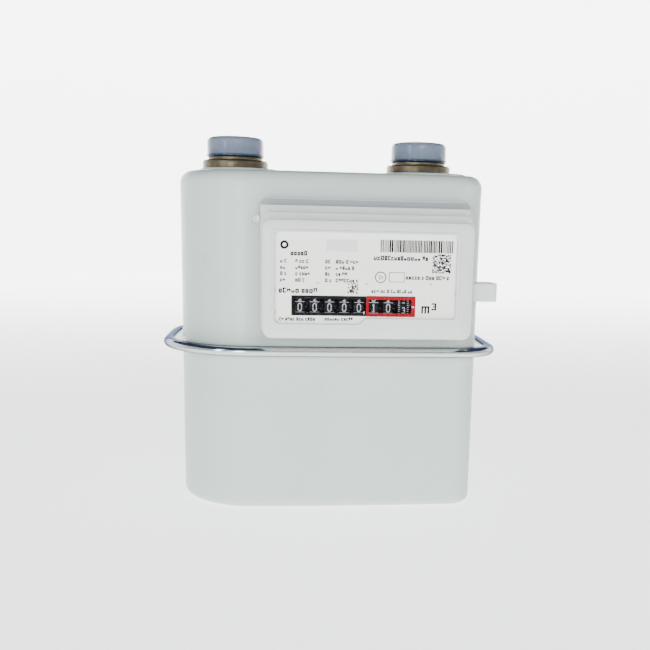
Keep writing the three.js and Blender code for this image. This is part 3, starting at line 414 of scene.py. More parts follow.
def blend_base(material, color, amount):
    """Blends the base colour towards another by the amount from a socket."""
    nodes, links = material.node_tree.nodes, material.node_tree.links
    base = nodes["Principled BSDF"].inputs["Base Color"]
    plain = base.links[0].from_socket
    mix = nodes.new("ShaderNodeMixRGB")
    mix.inputs["Color2"].default_value = (*color, 1)
    links.new(amount, mix.inputs["Fac"])
    links.new(plain, mix.inputs["Color1"])
    links.new(mix.outputs["Color"], base)


def paint_shade_between(material, color, low, high, blend):
    """Paints shade: darkens the surface between two heights, in millimetres, with soft edges."""
    nodes, links = material.node_tree.nodes, material.node_tree.links
    height = coordinate(nodes, links, "Z")
    over_low = ranged(nodes, links, height, (low - blend) * MM, low * MM)
    over_high = ranged(nodes, links, height, high * MM, (high + blend) * MM)
    under_high = computed(nodes, links, "MULTIPLY_ADD", over_high, -1.0)
    blend_base(material, color, computed(nodes, links, "MULTIPLY", over_low, under_high))


CAP_FOOT = box_mm("inlet_cap")[0].z + CAP_LIFT
LAST_STEP = cover_high.z     # height where the base's own ledge begins
# Painted shade: the sloping ledge of the base, above the cover, is darkened to dark grey.
paint_shade_between(
    SLOT_MATERIAL["cover_plastic"], (0.26, 0.29, 0.30), LAST_STEP, LAST_STEP + 3.3, 0.2)
# Painted shade: the dust caps are darkened to navy round their foot, just above the collar.
paint_shade_between(SLOT_MATERIAL["cap_plastic"], (0.015, 0.03, 0.07), CAP_FOOT, CAP_FOOT + 0.4, 1.6)


def paint_carried_nodes():
    """The inner pieces keep their CAD shape and take their slot's material."""
    for node, shape in frame["nodes"].items():
        if shape.hide_render:
            continue
        shape.data.materials.clear()
        shape.data.materials.append(SLOT_MATERIAL[NODE_SLOT[node]])
        smooth(shape.data, 32)


# ---- Casing -------------------------------------------------------------------------------------
def plan(offset, z):
    """The casing's outline seen from above, moved outward by offset: a rounded rectangle whose
    walls are slightly crowned."""
    half_w, half_d = HALF_W + offset, HALF_D + offset
    inner = half_d - BULGE_FRONT
    left, right = half_w - BULGE_LEFT, half_w - BULGE_RIGHT
    corners = [(right, -inner), (right, inner), (-left, inner), (-left, -inner)]
    right_r, left_r = max(RIGHT_R + offset, 1), max(LEFT_R + offset, 1)
    outline = rounded(corners, [right_r, right_r, left_r, left_r], arc_steps=14, side_steps=16)
    points = []
    for x, y in outline:
        side, crown = (right, BULGE_RIGHT) if x > 0 else (left, BULGE_LEFT)
        across = math.copysign(crown * (1 - (y / inner) ** 2) * abs(x) / side, x)
        along = math.copysign(BULGE_FRONT * (1 - (x / half_w) ** 2) * abs(y) / inner, y)
        points.append((x + across, y + along, z))
    return points


def pressed(points):
    """The upper half's front is pressed back slightly where the index housing stands, below a
    faint crease."""
    depth, crease_z, crease_x, blend = 0.5, 180.5, -57, 3
    moved = []
    for x, y, z in points:
        if y < 0:
            low = 1 - smooth_step(z, crease_z - blend, crease_z)
            y += depth * low * smooth_step(x, crease_x, crease_x + blend)
        moved.append((x, y, z))
    return moved


def drawn_half(mesh, flange_z, closed_z, closed_r, up):
    """Outside of one half, from its flange to the flat of its closed end."""
    sheet_z = flange_z + up * SHEET
    wall_start = sheet_z + up * ROOT_R
    wall_end = closed_z - up * closed_r
    profile = [(FLANGE_OUT, sheet_z), (FLANGE_OUT - 1, sheet_z)]
    profile += arc((ROOT_R, wall_start), ROOT_R, 180 + up * 90, 180, 6)
    profile += [(0, z) for z in between(wall_start, wall_end, 44)]
    profile += arc((-closed_r, wall_end), closed_r, 0, up * 90, 9)[1:]
    return loft(mesh, [pressed(plan(o, z)) if up > 0 else plan(o, z) for o, z in profile])


def inside_top(x, y, inset):
    """A point moved, if need be, to lie within the casing's top by that inset."""
    half_w, half_d = HALF_W - TOP_R - inset - BULGE_LEFT, HALF_D - TOP_R - inset - BULGE_FRONT
    if x > 0:
        half_w += BULGE_LEFT - BULGE_RIGHT
    radius = (RIGHT_R if x > 0 else LEFT_R) - TOP_R - inset
    over_x, over_y = abs(x) - (half_w - radius), abs(y) - (half_d - radius)
    if over_x > 0 and over_y > 0 and math.hypot(over_x, over_y) > radius:
        share = radius / math.hypot(over_x, over_y)
        x = math.copysign(half_w - radius + over_x * share, x)
        y = math.copysign(half_d - radius + over_y * share, y)
    x = math.copysign(min(abs(x), half_w), x)
    y = math.copysign(min(abs(y), half_d), y)
    return x, y


def pad_rings(mesh, x):
    """The raised pad under a fitting, with a hole for its spigot."""
    steps = [(0.0, 0.0), (0.25, 0.5), (0.7, 0.95), (1.4, 1.2), (2.2, PAD_H)]
    outlines = []
    for inset, rise in steps:
        base = rectangle(
            x - PAD_W / 2 + inset, x + PAD_W / 2 - inset, -PAD_D / 2 + inset, PAD_D / 2 - inset,
            PAD_R - inset, arc_steps=10)
        outlines.append(flat([inside_top(u, v, 0.6 + inset) for u, v in base], TOP_Z + rise))
    rings = loft(mesh, outlines)
    spigot_hole = ring(mesh, flat(circle(x, 0, SPIGOT_HOLE_R), TOP_Z + PAD_H))
    fill(mesh, rings[-1], spigot_hole)
    return rings[0]


def casing():
    mesh = bmesh.new()
    rings = drawn_half(mesh, upper_low.z, TOP_Z, TOP_R, 1)
    pads = [pad_rings(mesh, middle_mm(f"{side}_nozzle").x) for side in ("inlet", "outlet")]
    fill(mesh, rings[-1], *pads)
    piece("casing_upper", mesh, "upper_casing", sharp=50, thickness=SHEET * 0.9)

    mesh = bmesh.new()
    rings = drawn_half(mesh, lower_high.z, lower_low.z, BASE_R, -1)
    fill(mesh, rings[-1])
    piece("casing_lower", mesh, "lower_casing", sharp=50, thickness=SHEET * 0.9)


def clamp_band():
    """A strip rolled over both flanges, with a round nose and two curled lips."""
    z = (band_low.z + band_high.z) / 2
    nose_r = (band_high.z - band_low.z) / 2
    nose = band_high.x - HALF_W - nose_r
    inner_r = nose_r - BAND_T
    lip = BAND_T / 2
    profile = arc((nose, z), nose_r, -90, 90, 14)
    profile += arc((BAND_LIP + lip, z + nose_r - lip), lip, 90, 270, 4)
    profile += arc((nose, z), inner_r, 90, -90, 8)
    profile += arc((BAND_LIP + lip, z - nose_r + lip), lip, 90, 270, 4)
    mesh = bmesh.new()
    loft(mesh, [plan(o, height) for o, height in profile], looped=True)
    piece("clamp_band_rolled", mesh, "clamp_band", sharp=50)


# ---- Fittings -----------------------------------------------------------------------------------
def thread_radius(crest, z):
    """Radius round the thread at height z, as a function of the angle."""
    def radius(turn):
        phase = (z / THREAD_PITCH - turn / math.tau) % 1
        return crest - THREAD_DEPTH * min(1, max(0, 3 * abs(phase - 0.5) - 0.25))
    return radius


def nozzle(side):
    low, high = box_mm(f"{side}_nozzle")
    _, seal_high = box_mm(f"{side}_gasket")
    x = (low.x + high.x) / 2
    collar_r = (high.x - low.x) / 2
    seat = seal_high.z + GAP / 2
    neck_top = CAP_FOOT - GAP
    collar_top = neck_top - NECK_H
    bevel = 1.2
    profile = [(BORE_R, low.z), (SPIGOT_R, low.z), (SPIGOT_R, seat)]
    profile += arc((collar_r - 0.6, seat + 0.6), 0.6, -90, 0, 4)
    profile += arc((collar_r - bevel, collar_top - bevel), bevel, 0, 90, 6)
    edge = 0.3
    profile += [(NECK_R + edge, collar_top), (NECK_R, collar_top + edge)]
    profile += [(NECK_R, neck_top - edge), (NECK_R - edge, neck_top), (THREAD_R, neck_top)]
    lead_in = high.z - 1
    steps = int((lead_in - neck_top) / (THREAD_PITCH / 8))
    profile += [(thread_radius(THREAD_R, z), z) for z in between(neck_top, lead_in, steps)]
    profile += [(THREAD_R - 1, high.z), (BORE_R + 0.4, high.z), (BORE_R, high.z - 0.4)]
    mesh = bmesh.new()
    lathe(mesh, profile, x, 0, segments=96)
    piece(f"{side}_fitting", mesh, f"{side}_nozzle")


def collar_seal(side):
    low, high = box_mm(f"{side}_gasket")
    outer = (high.x - low.x) / 2
    edge = 0.2
    profile = [(SPIGOT_HOLE_R, low.z), (outer - edge, low.z), (outer, low.z + edge),
               (outer, high.z - edge), (outer - edge, high.z), (SPIGOT_HOLE_R, high.z)]
    mesh = bmesh.new()
    lathe(mesh, profile, (low.x + high.x) / 2, 0)
    piece(f"{side}_collar_seal", mesh, f"{side}_gasket")


def dust_cap(side):
    """A moulded cap with a rounded shoulder, a slight draft and a bead round its rim."""
    low, high = box_mm(f"{side}_cap")
    outer = (high.x - low.x) / 2
    crown, round_r, draft, bead, wall = 0.5, 2.6, 0.45, 0.3, 0.85
    top_r = outer - draft - round_r
    shoulder = high.z - crown - round_r

    def crowned(top, radii):
        return [(r, top - crown * (r / top_r) ** 2) for r in radii]

    profile = crowned(high.z - wall, (1, 4, 7, 10))
    profile += arc((top_r, shoulder), round_r - wall, 82, 0, 6)
    profile += [(outer - wall, CAP_FOOT + 1.5), (outer - wall, CAP_FOOT)]
    profile += [(outer - 0.1, CAP_FOOT), (outer, CAP_FOOT + 0.2)]
    profile += [(outer, CAP_FOOT + 1.1), (outer - bead, CAP_FOOT + 1.5)]
    profile += arc((top_r, shoulder), round_r, 0, 82, 8)
    profile += crowned(high.z, (10, 7, 4, 1))
    mesh = bmesh.new()
    rings = lathe(mesh, profile, (low.x + high.x) / 2, 0, segments=72, looped=False)
    mesh.faces.new(rings[0])
    mesh.faces.new(rings[-1])
    piece(f"{side}_dust_cap", mesh, f"{side}_cap", sharp=45)


# ---- Index housing ------------------------------------------------------------------------------
def ledge(k, y, inset=0.0):
    """Outline of ledge k at depth y, where ledge 0 is the cover's front."""
    side = LEDGE_SIDE * k - inset
    left, right = COVER_LEFT - side, COVER_RIGHT + side
    bottom, top = COVER_BOTTOM + inset, COVER_TOP + LEDGE_RISE * k - inset
    return upright(rectangle(left, right, bottom, top, COVER_R - inset / 2, arc_steps=8), y)


def inner_outline(y):
    left, right = COVER_LEFT + WALL, COVER_RIGHT - WALL
    bottom, top = COVER_BOTTOM + WALL, COVER_TOP - WALL
    return upright(rectangle(left, right, bottom, top, COVER_R - WALL, arc_steps=8), y)


def window_outline(inset):
    """The window is shallower to the right of a short chamfer. Its frame is widest at the sides."""
    left, right = pane_low.x - GAP + inset, pane_high.x + GAP - inset
    bottom, top = pane_low.z - GAP + inset / 4, pane_high.z + GAP - inset / 2
    step = WINDOW_STEP_X - inset / 8
    corners = [
        (left, bottom), (step, bottom), (step + WINDOW_STEP_RUN, bottom + WINDOW_STEP_RISE),
        (right, bottom + WINDOW_STEP_RISE), (right, top), (left, top),
    ]
    radii = [3, 1.5, 1.5, 2, 2.5, 3]
    return rounded(corners, radii, arc_steps=5)


def lip_rows(k, y):
    """Outlines of the rounded front edge of ledge k."""
    return [ledge(k, y, LIP), ledge(k, y + 0.12, LIP * 0.45), ledge(k, y + LIP, 0)]


def stepped_rows(last, front):
    """Outlines from the front of ledge 0 to the last ledge: a rounded lip at each front edge, a
    tread, and a slope up to the next lip."""
    rows = []
    slope = 2.4
    for k in range(last + 1):
        y = front + LEDGE_DEPTH * k
        rows += lip_rows(k, y)
        rows += [ledge(k, y + LIP + 0.5, 0), ledge(k, y + LIP + 0.9, LIP_DIP)]
        if k < last:
            rows.append(ledge(k, y + LEDGE_DEPTH - slope, LIP_DIP))
            rows.append(ledge(k + 1, y + LEDGE_DEPTH, LIP + 0.1))
    return rows


def index_cover():
    mesh = bmesh.new()
    face_y = FRONT_Y + FACE_STEP
    outside = stepped_rows(2, face_y)
    back_y = base_front() - GAP
    outside.append(ledge(2, back_y, LIP_DIP))
    rings = loft(mesh, outside)
    ridge = loft(mesh, [
        upright(window_outline(inset), y)
        for inset, y in ((0, face_y), (0.25, face_y - 0.3), (0.55, FRONT_Y), (1.6, FRONT_Y),
                         (1.95, face_y - 0.2), (2.2, face_y + 0.2), (2.2, FRONT_Y + WALL))
    ])
    fill(mesh, rings[0], ridge[0])
    inner = loft(mesh, [inner_outline(FRONT_Y + WALL), inner_outline(back_y)])
    fill(mesh, inner[0], ridge[-1])
    fill(mesh, rings[-1], inner[-1])
    piece("index_front_cover", mesh, "index_cover", sharp=37)


def base_front():
    """Depth of the joint between the index's cover and its base."""
    return cover_high.y + GAP


def index_base():
    mesh = bmesh.new()
    joint = base_front()
    ledge_y = FRONT_Y + FACE_STEP + 3 * LEDGE_DEPTH
    outside = [ledge(2, joint, LIP_DIP), ledge(3, ledge_y, LIP + 0.1)]
    outside += lip_rows(3, ledge_y) + [ledge(3, base_high.y)]
    rings = loft(mesh, outside)
    floor_y = base_high.y - BASE_FLOOR
    inner = loft(mesh, [inner_outline(joint), inner_outline(floor_y)])
    holes = []
    for node, radius in (("gland_bush", GLAND_HOLE_R), ("input_shaft", SHAFT_HOLE_R)):
        centre = middle_mm(node)
        hole = circle(centre.x, centre.z, radius, 32)
        holes.append(loft(mesh, [upright(hole, floor_y), upright(hole, base_high.y)]))
    fill(mesh, rings[0], inner[0])
    fill(mesh, inner[-1], *[hole[0] for hole in holes])
    fill(mesh, rings[-1], *[hole[-1] for hole in holes])
    lug(mesh)
    seal_ear(mesh)
    piece("index_housing_base", mesh, "index_base", sharp=37)


def lug(mesh):
    """A strap that leaves the base's right side, turns forward and comes back beside the cover."""
    attach, free = COVER_RIGHT, COVER_RIGHT + 2 * LEDGE_SIDE + 0.8
    right = base_high.x
    corners = [
        (attach, LUG_BACK), (right, LUG_BACK), (right, LUG_FRONT), (free, LUG_FRONT),
        (free, LUG_FRONT + LUG_STRAP), (right - LUG_STRAP, LUG_FRONT + LUG_STRAP),
        (right - LUG_STRAP, LUG_BACK - LUG_STRAP), (attach, LUG_BACK - LUG_STRAP),
    ]
    radii = [0.05, 4, 1.8, 0.5, 0.5, 0.6, 2.6, 0.05]
    bottom, top = LUG_Z
    edge = 0.35
    rows = []
    for grow, z in ((-edge, bottom), (0, bottom + edge), (0, top - edge), (-edge, top)):
        shift = [(0, grow), (grow, grow), (grow, -grow), (-grow, -grow), (-grow, grow),
                 (-grow, grow), (-grow, -grow), (0, -grow)]
        moved = [(x + dx, y + dy) for (x, y), (dx, dy) in zip(corners, shift)]
        rows.append(flat(rounded(moved, radii), z))
    solid(mesh, rows)


def seal_ear(mesh):
    """The small ear at the base's left that the seal plug is pressed into."""
    plug = middle_mm("seal_plug")
    edge = 0.4
    rows = []
    for inset, y in ((edge, EAR_FRONT), (0, EAR_FRONT + edge), (0, EAR_BACK)):
        outline = rectangle(
            plug.x - EAR_R + inset, COVER_LEFT + EAR_R, plug.z - EAR_R + inset,
            plug.z + EAR_R - inset, EAR_R - 0.1 - inset)
        rows.append(upright(outline, y))
    rings = loft(mesh, rows)
    hole = circle(plug.x, plug.z, EAR_BORE_R, 24)
    bore = loft(mesh, [upright(hole, EAR_FRONT), upright(hole, EAR_BACK)])
    fill(mesh, rings[0], bore[0])
    fill(mesh, rings[-1], bore[-1])


def seal_plug():
    """A ring-headed plug, hollow in the middle."""
    low, high = box_mm("seal_plug")
    centre = (low + high) / 2
    head_r = (high.x - low.x) / 2
    hollow_y, tiny = PLUG_NECK_Y - 0.2, 0.3
    profile = [
        (tiny, high.y), (PLUG_STEM_R, high.y), (PLUG_STEM_R, PLUG_NECK_Y), (head_r, PLUG_HEAD_Y),
        (head_r, PLUG_HEAD_Y - 1), (head_r - 0.35, low.y), (PLUG_HOLLOW_R + 0.3, low.y),
        (PLUG_HOLLOW_R + 0.1, low.y + 0.4), (PLUG_HOLLOW_R, hollow_y), (tiny, hollow_y),
    ]
    mesh = bmesh.new()
    outlines = [upright(circle(centre.x, centre.z, r, 32), y) for r, y in profile]
    solid(mesh, outlines)
    piece("seal_plug_head", mesh, "seal_plug")


def window_pane():
    mesh = bmesh.new()
    front, back = FRONT_Y + 0.9, pane_high.y
    rows = [(2.7, front), (2.5, front + 0.2), (2.5, back)]
    solid(mesh, [upright(window_outline(inset), y) for inset, y in rows])
    piece("index_pane", mesh, "index_window")


# ---- Name plate ---------------------------------------------------------------------------------
PRINT = 0.04                 # how far print stands proud, so that it shows
DRUM_OPENING = (-21.6, 42, 115.9, 124.5)


def name_plate():
    mesh = bmesh.new()
    outline = rectangle(plate_low.x, plate_high.x, plate_low.z, plate_high.z, 1)
    opening = rectangle(*DRUM_OPENING, 0.5)
    rings = loft(mesh, [upright(outline, plate_low.y), upright(outline, plate_high.y)])
    hole = loft(mesh, [upright(opening, plate_low.y), upright(opening, plate_high.y)])
    fill(mesh, rings[0], hole[0])
    fill(mesh, rings[-1], hole[-1])
    piece("plate", mesh, "name_plate")


def printed(name, outlines, material, proud=PRINT):
    """Thin flat shapes on the front of the name plate."""
    mesh = bmesh.new()
    for outline in outlines:
        solid(mesh, [upright(outline, plate_low.y - proud), upright(outline, plate_low.y)])
    piece(name, mesh, "name_plate", material)


def block(left, right, bottom, top):
    return [(left, bottom), (right, bottom), (right, top), (left, top)]


def framed(left, right, bottom, top, width):
    """The four sides of an empty box."""
    return [
        block(left, right, top - width, top), block(left, right, bottom, bottom + width),
        block(left, left + width, bottom + width, top - width),
        block(right - width, right, bottom + width, top - width),
    ]


def greeked(left, right, middle, height, salt):
    """A line of stand-in text: open and closed boxes grouped like words."""
    dice = random.Random(salt)
    stroke = height * 0.26
    bottom = middle - height / 2
    shapes = []
    x = left
    while x < right - 2 * stroke:
        top = bottom + height * (1 if dice.random() > 0.5 else 0.78)
        end = min(x + height * dice.uniform(0.52, 0.7), right)
        sides = framed(x, end, bottom, top, stroke)
        shapes += dice.choice((sides, sides, sides[:3], sides[1:], sides[:1] + sides[2:]))
        x = end + height * (0.5 if dice.random() < 0.17 else 0.14)
    return shapes


def stripes(left, right, bottom, top):
    """Upright bars of mixed widths, which carry no code."""
    dice = random.Random(5)
    unit = 0.3
    shapes = []
    x = left
    while x < right:
        width = unit * dice.choice((1, 1.5, 2, 3))
        shapes.append(block(x, min(x + width, right), bottom, top))
        x += width + unit * dice.choice((0.8, 1, 1.4))
    return shapes


def speckle(left, bottom, size, cells, salt):
    """A square of scattered dots, which carries no code."""
    dice = random.Random(salt)
    cell = size / cells
    shapes = []
    for row in range(cells):
        for column in range(cells):
            if dice.random() < 0.56:
                x, z = left + column * cell, bottom + row * cell
                shapes.append(block(x, x + cell * 0.97, z, z + cell * 0.97))
    return shapes


def hoop(x, z, outer, inner, parts=24):
    """A flat ring as short segments."""
    shapes = []
    for k in range(parts):
        a, b = math.tau * k / parts, math.tau * (k + 1) / parts
        shapes.append([
            (x + r * math.cos(t), z + r * math.sin(t))
            for r, t in ((inner, a), (outer, a), (outer, b), (inner, b))
        ])
    return shapes


def plate_print():
    rows = []
    for line, z in enumerate((143.3, 140.1, 136.9, 133.6)):
        rows += greeked(-28.4, -24.6, z, 1.9, line)
        rows += greeked(-20.5, -11.8 - line % 2 * 2, z, 1.9, line + 10)
        rows += greeked(-5, -1.4, z, 1.9, line + 20)
        rows += greeked(0.6, 12.3 - line % 3 * 2, z, 1.9, line + 30)
    rows += greeked(19.5, 41.2, 128.3, 1.8, 41)
    rows += greeked(-28.7, -10, 113.2, 1.8, 42) + greeked(-5, 10, 113.4, 1.8, 43)
    rows += greeked(-23, -13.2, 147.4, 2.4, 45)
    printed("plate_small_print", rows, BLACK_INK)

    bold = greeked(-29, -6.8, 128.2, 2.7, 51) + greeked(20.3, 50, 145.7, 2.4, 53)
    bold += greeked(37.6, 62, 135.7, 2.1, 44) + framed(28.7, 37, 133.2, 138.4, 0.3)
    bold += hoop(24.2, 135.6, 3.0, 2.5) + hoop(24.2, 135.6, 1.5, 0.9, 3)
    bold += hoop(-26.2, 151.6, 2.2, 1.0)
    bold += stripes(23.8, 62.6, 148.7, 155.1)
    bold += speckle(51.5, 138.2, 9.9, 17, 61) + speckle(6.9, 126.9, 5.6, 10, 67)
    printed("plate_bold_print", bold, BLACK_INK)
    printed("plate_blank_field", [block(-4.6, 11.6, 148.7, 154.8)], WHITE_INK, PRINT / 2)


def plate_studs():
    """Heads of the three pins that hold the plate, and the clips beside it."""
    mesh = bmesh.new()
    for x, z in ((-8.7, 132.1), (16.8, 132), (51.1, 132.3)):
        rows = [(0.75, 0.0), (0.7, 0.25), (0.45, 0.38)]
        solid(mesh, [upright(circle(x, z, r, 20), plate_low.y - out) for r, out in rows])
    left, right = -30.9, 64.2
    for x, z in ((left, 128.4), (left, 116.6), (right, 127.4)):
        outline = rectangle(x - 0.5, x + 0.5, z - 1.4, z + 1.4, 0.3)
        solid(mesh, [upright(outline, plate_low.y - 0.3), upright(outline, plate_low.y)])
    piece("plate_studs", mesh, "name_plate", SLOT_MATERIAL["cover_plastic"])


def unit_mark():
    """The unit beside the drums, an m and a raised 3, in block strokes."""
    left, right, bottom, top, stroke = 46.4, 50.7, 116.8, 120.8, 0.95
    stem = (right - left - 3 * stroke) / 2
    strokes = [block(left + k * (stroke + stem), left + k * (stroke + stem) + stroke, bottom, top)
               for k in range(3)]
    strokes += [block(left + stroke + k * (stroke + stem), left + (k + 1) * (stroke + stem),
                      top - stroke, top) for k in range(2)]
    left, right, bottom, top, stroke = 51.8, 54.4, 118.6, 122.4, 0.8
    strokes.append(block(right - stroke, right, bottom, top))
    for start, z in ((left, bottom), (left + 0.8, (bottom + top - stroke) / 2), (left, top - stroke)):
        strokes.append(block(start, right - stroke, z, z + stroke))
    printed("plate_unit_mark", strokes, BLACK_INK)


def opening_frames():
    """The black surround of the whole digits, and the red one of the decimals."""
    left, step, right = -22.5, 16.9, 43.1
    for name, outer, opening, material in (
        ("black_surround", (left, step, 115.1, 125.6), (-21.4, 16.6, 116.6, 123.9), BLACK_INK),
        ("red_surround", (step + 0.05, right, 114.9, 125.8), (18.3, 40.9, 116.8, 123.8), RED_INK),
    ):
        mesh = bmesh.new()
        edge, rim = rectangle(*outer, 0.3), rectangle(*opening, 0.3)
        front, back = plate_low.y - 0.25, plate_low.y - 0.01
        outside = loft(mesh, [upright(edge, front), upright(edge, back)])
        inside = loft(mesh, [upright(rim, front), upright(rim, back)])
        fill(mesh, outside[0], inside[0])
        fill(mesh, outside[1], inside[1])
        piece(name, mesh, "name_plate", material)
    pointer = [(40.9, 120.2), (42.3, 119.7), (42.3, 120.7)]
    comma = [(15.6, 116.0), (16.3, 117.4), (15.5, 117.4)]
    printed("surround_marks", [pointer, comma], WHITE_INK, 0.3)


# ---- Drums --------------------------------------------------------------------------------------
DIGIT_W, DIGIT_H, STROKE = 1.8, 4.0, 0.42
REST_TURN = math.radians(-5.5)           # the digits stand a little low in the window
TICKS = 5                                # scale marks from one digit of the last drum to the next
TICK_START, SHORT_TICK, LONG_TICK = 1.9, 2.8, 3.1
DASH, DASH_W = [(-2.5, 0), (2.5, 0)], 0.24
NOTCH, NOTCH_W = [(-0.8, 0.9), (0, 0.3), (0.8, 0.9)], 0.3
INK_RISE = 0.03                          # how far the marks stand off the drum
DRUM_AXLE = middle_mm("drum_axle")


def digit_paths(digit):
    """The digit's strokes as paths within -0.5 to 0.5 across and -1 to 1 up."""
    def bow(x, y, rx, ry, start, end):
        return [(x + rx * math.cos(math.radians(t)), y + ry * math.sin(math.radians(t)))
                for t in (start + (end - start) * k / 16 for k in range(17))]

    shapes = {
        0: [bow(0, 0.42, 0.5, 0.58, 0, 180) + bow(0, -0.42, 0.5, 0.58, 180, 360) + [(0.5, 0.42)]],
        1: [[(-0.3, 0.6), (0.05, 1), (0.05, -1)]],
        2: [bow(0, 0.47, 0.5, 0.53, 170, -35) + [(-0.5, -1), (0.5, -1)]],
        3: [bow(-0.05, 0.5, 0.48, 0.5, 150, -80) + bow(-0.05, -0.47, 0.55, 0.53, 80, -150)],
        4: [[(0.2, -1), (0.2, 1), (-0.5, -0.4), (0.5, -0.4)]],
        5: [[(0.42, 1), (-0.38, 1), (-0.44, 0.12)] + bow(-0.02, -0.38, 0.52, 0.62, 125, -150)],
        6: [bow(0, -0.42, 0.5, 0.58, 0, 360), bow(0.5, -0.42, 1.0, 1.42, 180, 105)],
        7: [[(-0.5, 1), (0.5, 1), (-0.1, -1)]],
        8: [bow(0, 0.5, 0.42, 0.5, 0, 360), bow(0, -0.48, 0.5, 0.52, 0, 360)],
    }
    if digit == 9:
        return [[(-x, -y) for x, y in path] for path in shapes[6]]
    return shapes[digit]


def wrapped(mesh, path, centre, turn, width, radius):
    """A stroke of that width laid on the drum's rim. Path points are (x, height on the rim)."""
    points = [Vector(p) for p in path]
    left, right = [], []
    for i, point in enumerate(points):
        back = point - points[i - 1] if i else points[1] - point
        ahead = points[i + 1] - point if i < len(points) - 1 else back
        across = (back.normalized() + ahead.normalized()).normalized()
        normal = Vector((-across.y, across.x))
        reach = width / 2 / max(0.6, normal.dot(Vector((-back.y, back.x)).normalized()))
        left.append(point + normal * reach)
        right.append(point - normal * reach)

    def on_rim(point):
        angle = turn + point.y / radius
        return Vector((centre + point.x, DRUM_AXLE.y - radius * math.cos(angle),
                       DRUM_AXLE.z + radius * math.sin(angle))) * MM

    rows = [(mesh.verts.new(on_rim(a)), mesh.verts.new(on_rim(b))) for a, b in zip(left, right)]
    for (a, b), (c, d) in zip(rows, rows[1:]):
        mesh.faces.new((a, b, d, c))


def finely(path, steps=6):
    """The path with each stretch cut up, so that it can bend round the rim."""
    points = [path[0]]
    for start, end in zip(path, path[1:]):
        points += [tuple(Vector(start).lerp(Vector(end), k / steps)) for k in range(1, steps + 1)]
    return points


def drum_marks(number, reading, centre, radius, scale):
    """Ten digits round the rim, with a dash and a notch between each two."""
    mesh = bmesh.new()
    for digit in range(10):
        turn = math.radians(DRUM_PITCH_DEG * (reading - digit)) + REST_TURN
        shrink = 0.8 if scale else 1
        for path in digit_paths(digit):
            placed = [(x * DIGIT_W * shrink, y * DIGIT_H / 2 * shrink) for x, y in path]
            fine = placed if len(placed) > 12 else finely(placed)
            wrapped(mesh, fine, centre, turn, STROKE * shrink, radius)
        if scale:
            for tick in range(TICKS):
                offset = math.radians(DRUM_PITCH_DEG) * (tick / TICKS - 0.5)
                for side in (-1, 1):
                    reach = LONG_TICK if tick == 0 else SHORT_TICK
                    path = [(side * TICK_START, 0), (side * reach, 0)]
                    wrapped(mesh, path, centre, turn + offset, DASH_W, radius)
        else:
            past_digit = turn + math.radians(DRUM_PITCH_DEG * 0.51)
            wrapped(mesh, DASH, centre, past_digit, DASH_W, radius)
            wrapped(mesh, NOTCH, centre, past_digit, NOTCH_W, radius)
    piece(f"drum_{number}_marks", mesh, f"drum_{number}", SHADED_DRUM_INK)


def toothed_outline():
    """Outline of a drum's toothed ring, as (y, z) points."""
    shape = ((0.05, TOOTH_ROOT_R), (0.22, TOOTH_TIP_R), (0.45, TOOTH_TIP_R), (0.62, TOOTH_ROOT_R))
    outline = []
    for tooth in range(DRUM_TEETH):
        for share, r in shape:
            turn = math.tau * (tooth + share) / DRUM_TEETH
            outline.append((DRUM_AXLE.y + r * math.cos(turn), DRUM_AXLE.z + r * math.sin(turn)))
    return outline


def drum(number, reading, scale=False):
    """A digit drum, with the toothed ring at its right that its transfer pinion turns."""
    node = f"drum_{number}"
    low, high = box_mm(node)
    radius = (high.z - low.z) / 2
    last = number == 8
    rim_end = high.x if last else high.x - DRUM_RING_W
    edge, web = 0.25, 1.2
    profile = [
        (low.x, DRUM_BORE_R), (low.x, radius - web), (low.x + edge, radius - edge),
        (low.x + 2 * edge, radius), (rim_end - 2 * edge, radius), (rim_end - edge, radius - edge),
        (rim_end, radius - web), (rim_end, DRUM_BORE_R),
    ]
    mesh = bmesh.new()
    rows = []
    for x, r in profile:
        rows.append([(x, y, z) for y, z in circle(DRUM_AXLE.y, DRUM_AXLE.z, r, 60)])
    loft(mesh, rows, looped=True)
    if not last:
        outline = toothed_outline()
        solid(mesh, [[(x, y, z) for y, z in outline] for x in (rim_end - 0.1, high.x)])
    piece(f"{node}_body", mesh, node)
    centre = (low.x + rim_end) / 2 + (0.0 if last else 0.35)
    drum_marks(number, reading, centre, radius + INK_RISE, scale)


# ---- Studio -------------------------------------------------------------------------------------
TENT_GLOW = 2.0                          # strength round the object
TENT_SIDE = ("X", 1300, 2200, 0.25)      # multiplied by that share between these distances
TENT_FRONT = ("-Y", 150, 1000, 0.12)
TENT_BACK = ("Y", 150, 1500, 2.4)
TENT_BESIDE = (300, 700, 0, 400, 0.12)   # dimmed between these X, unless past these Y


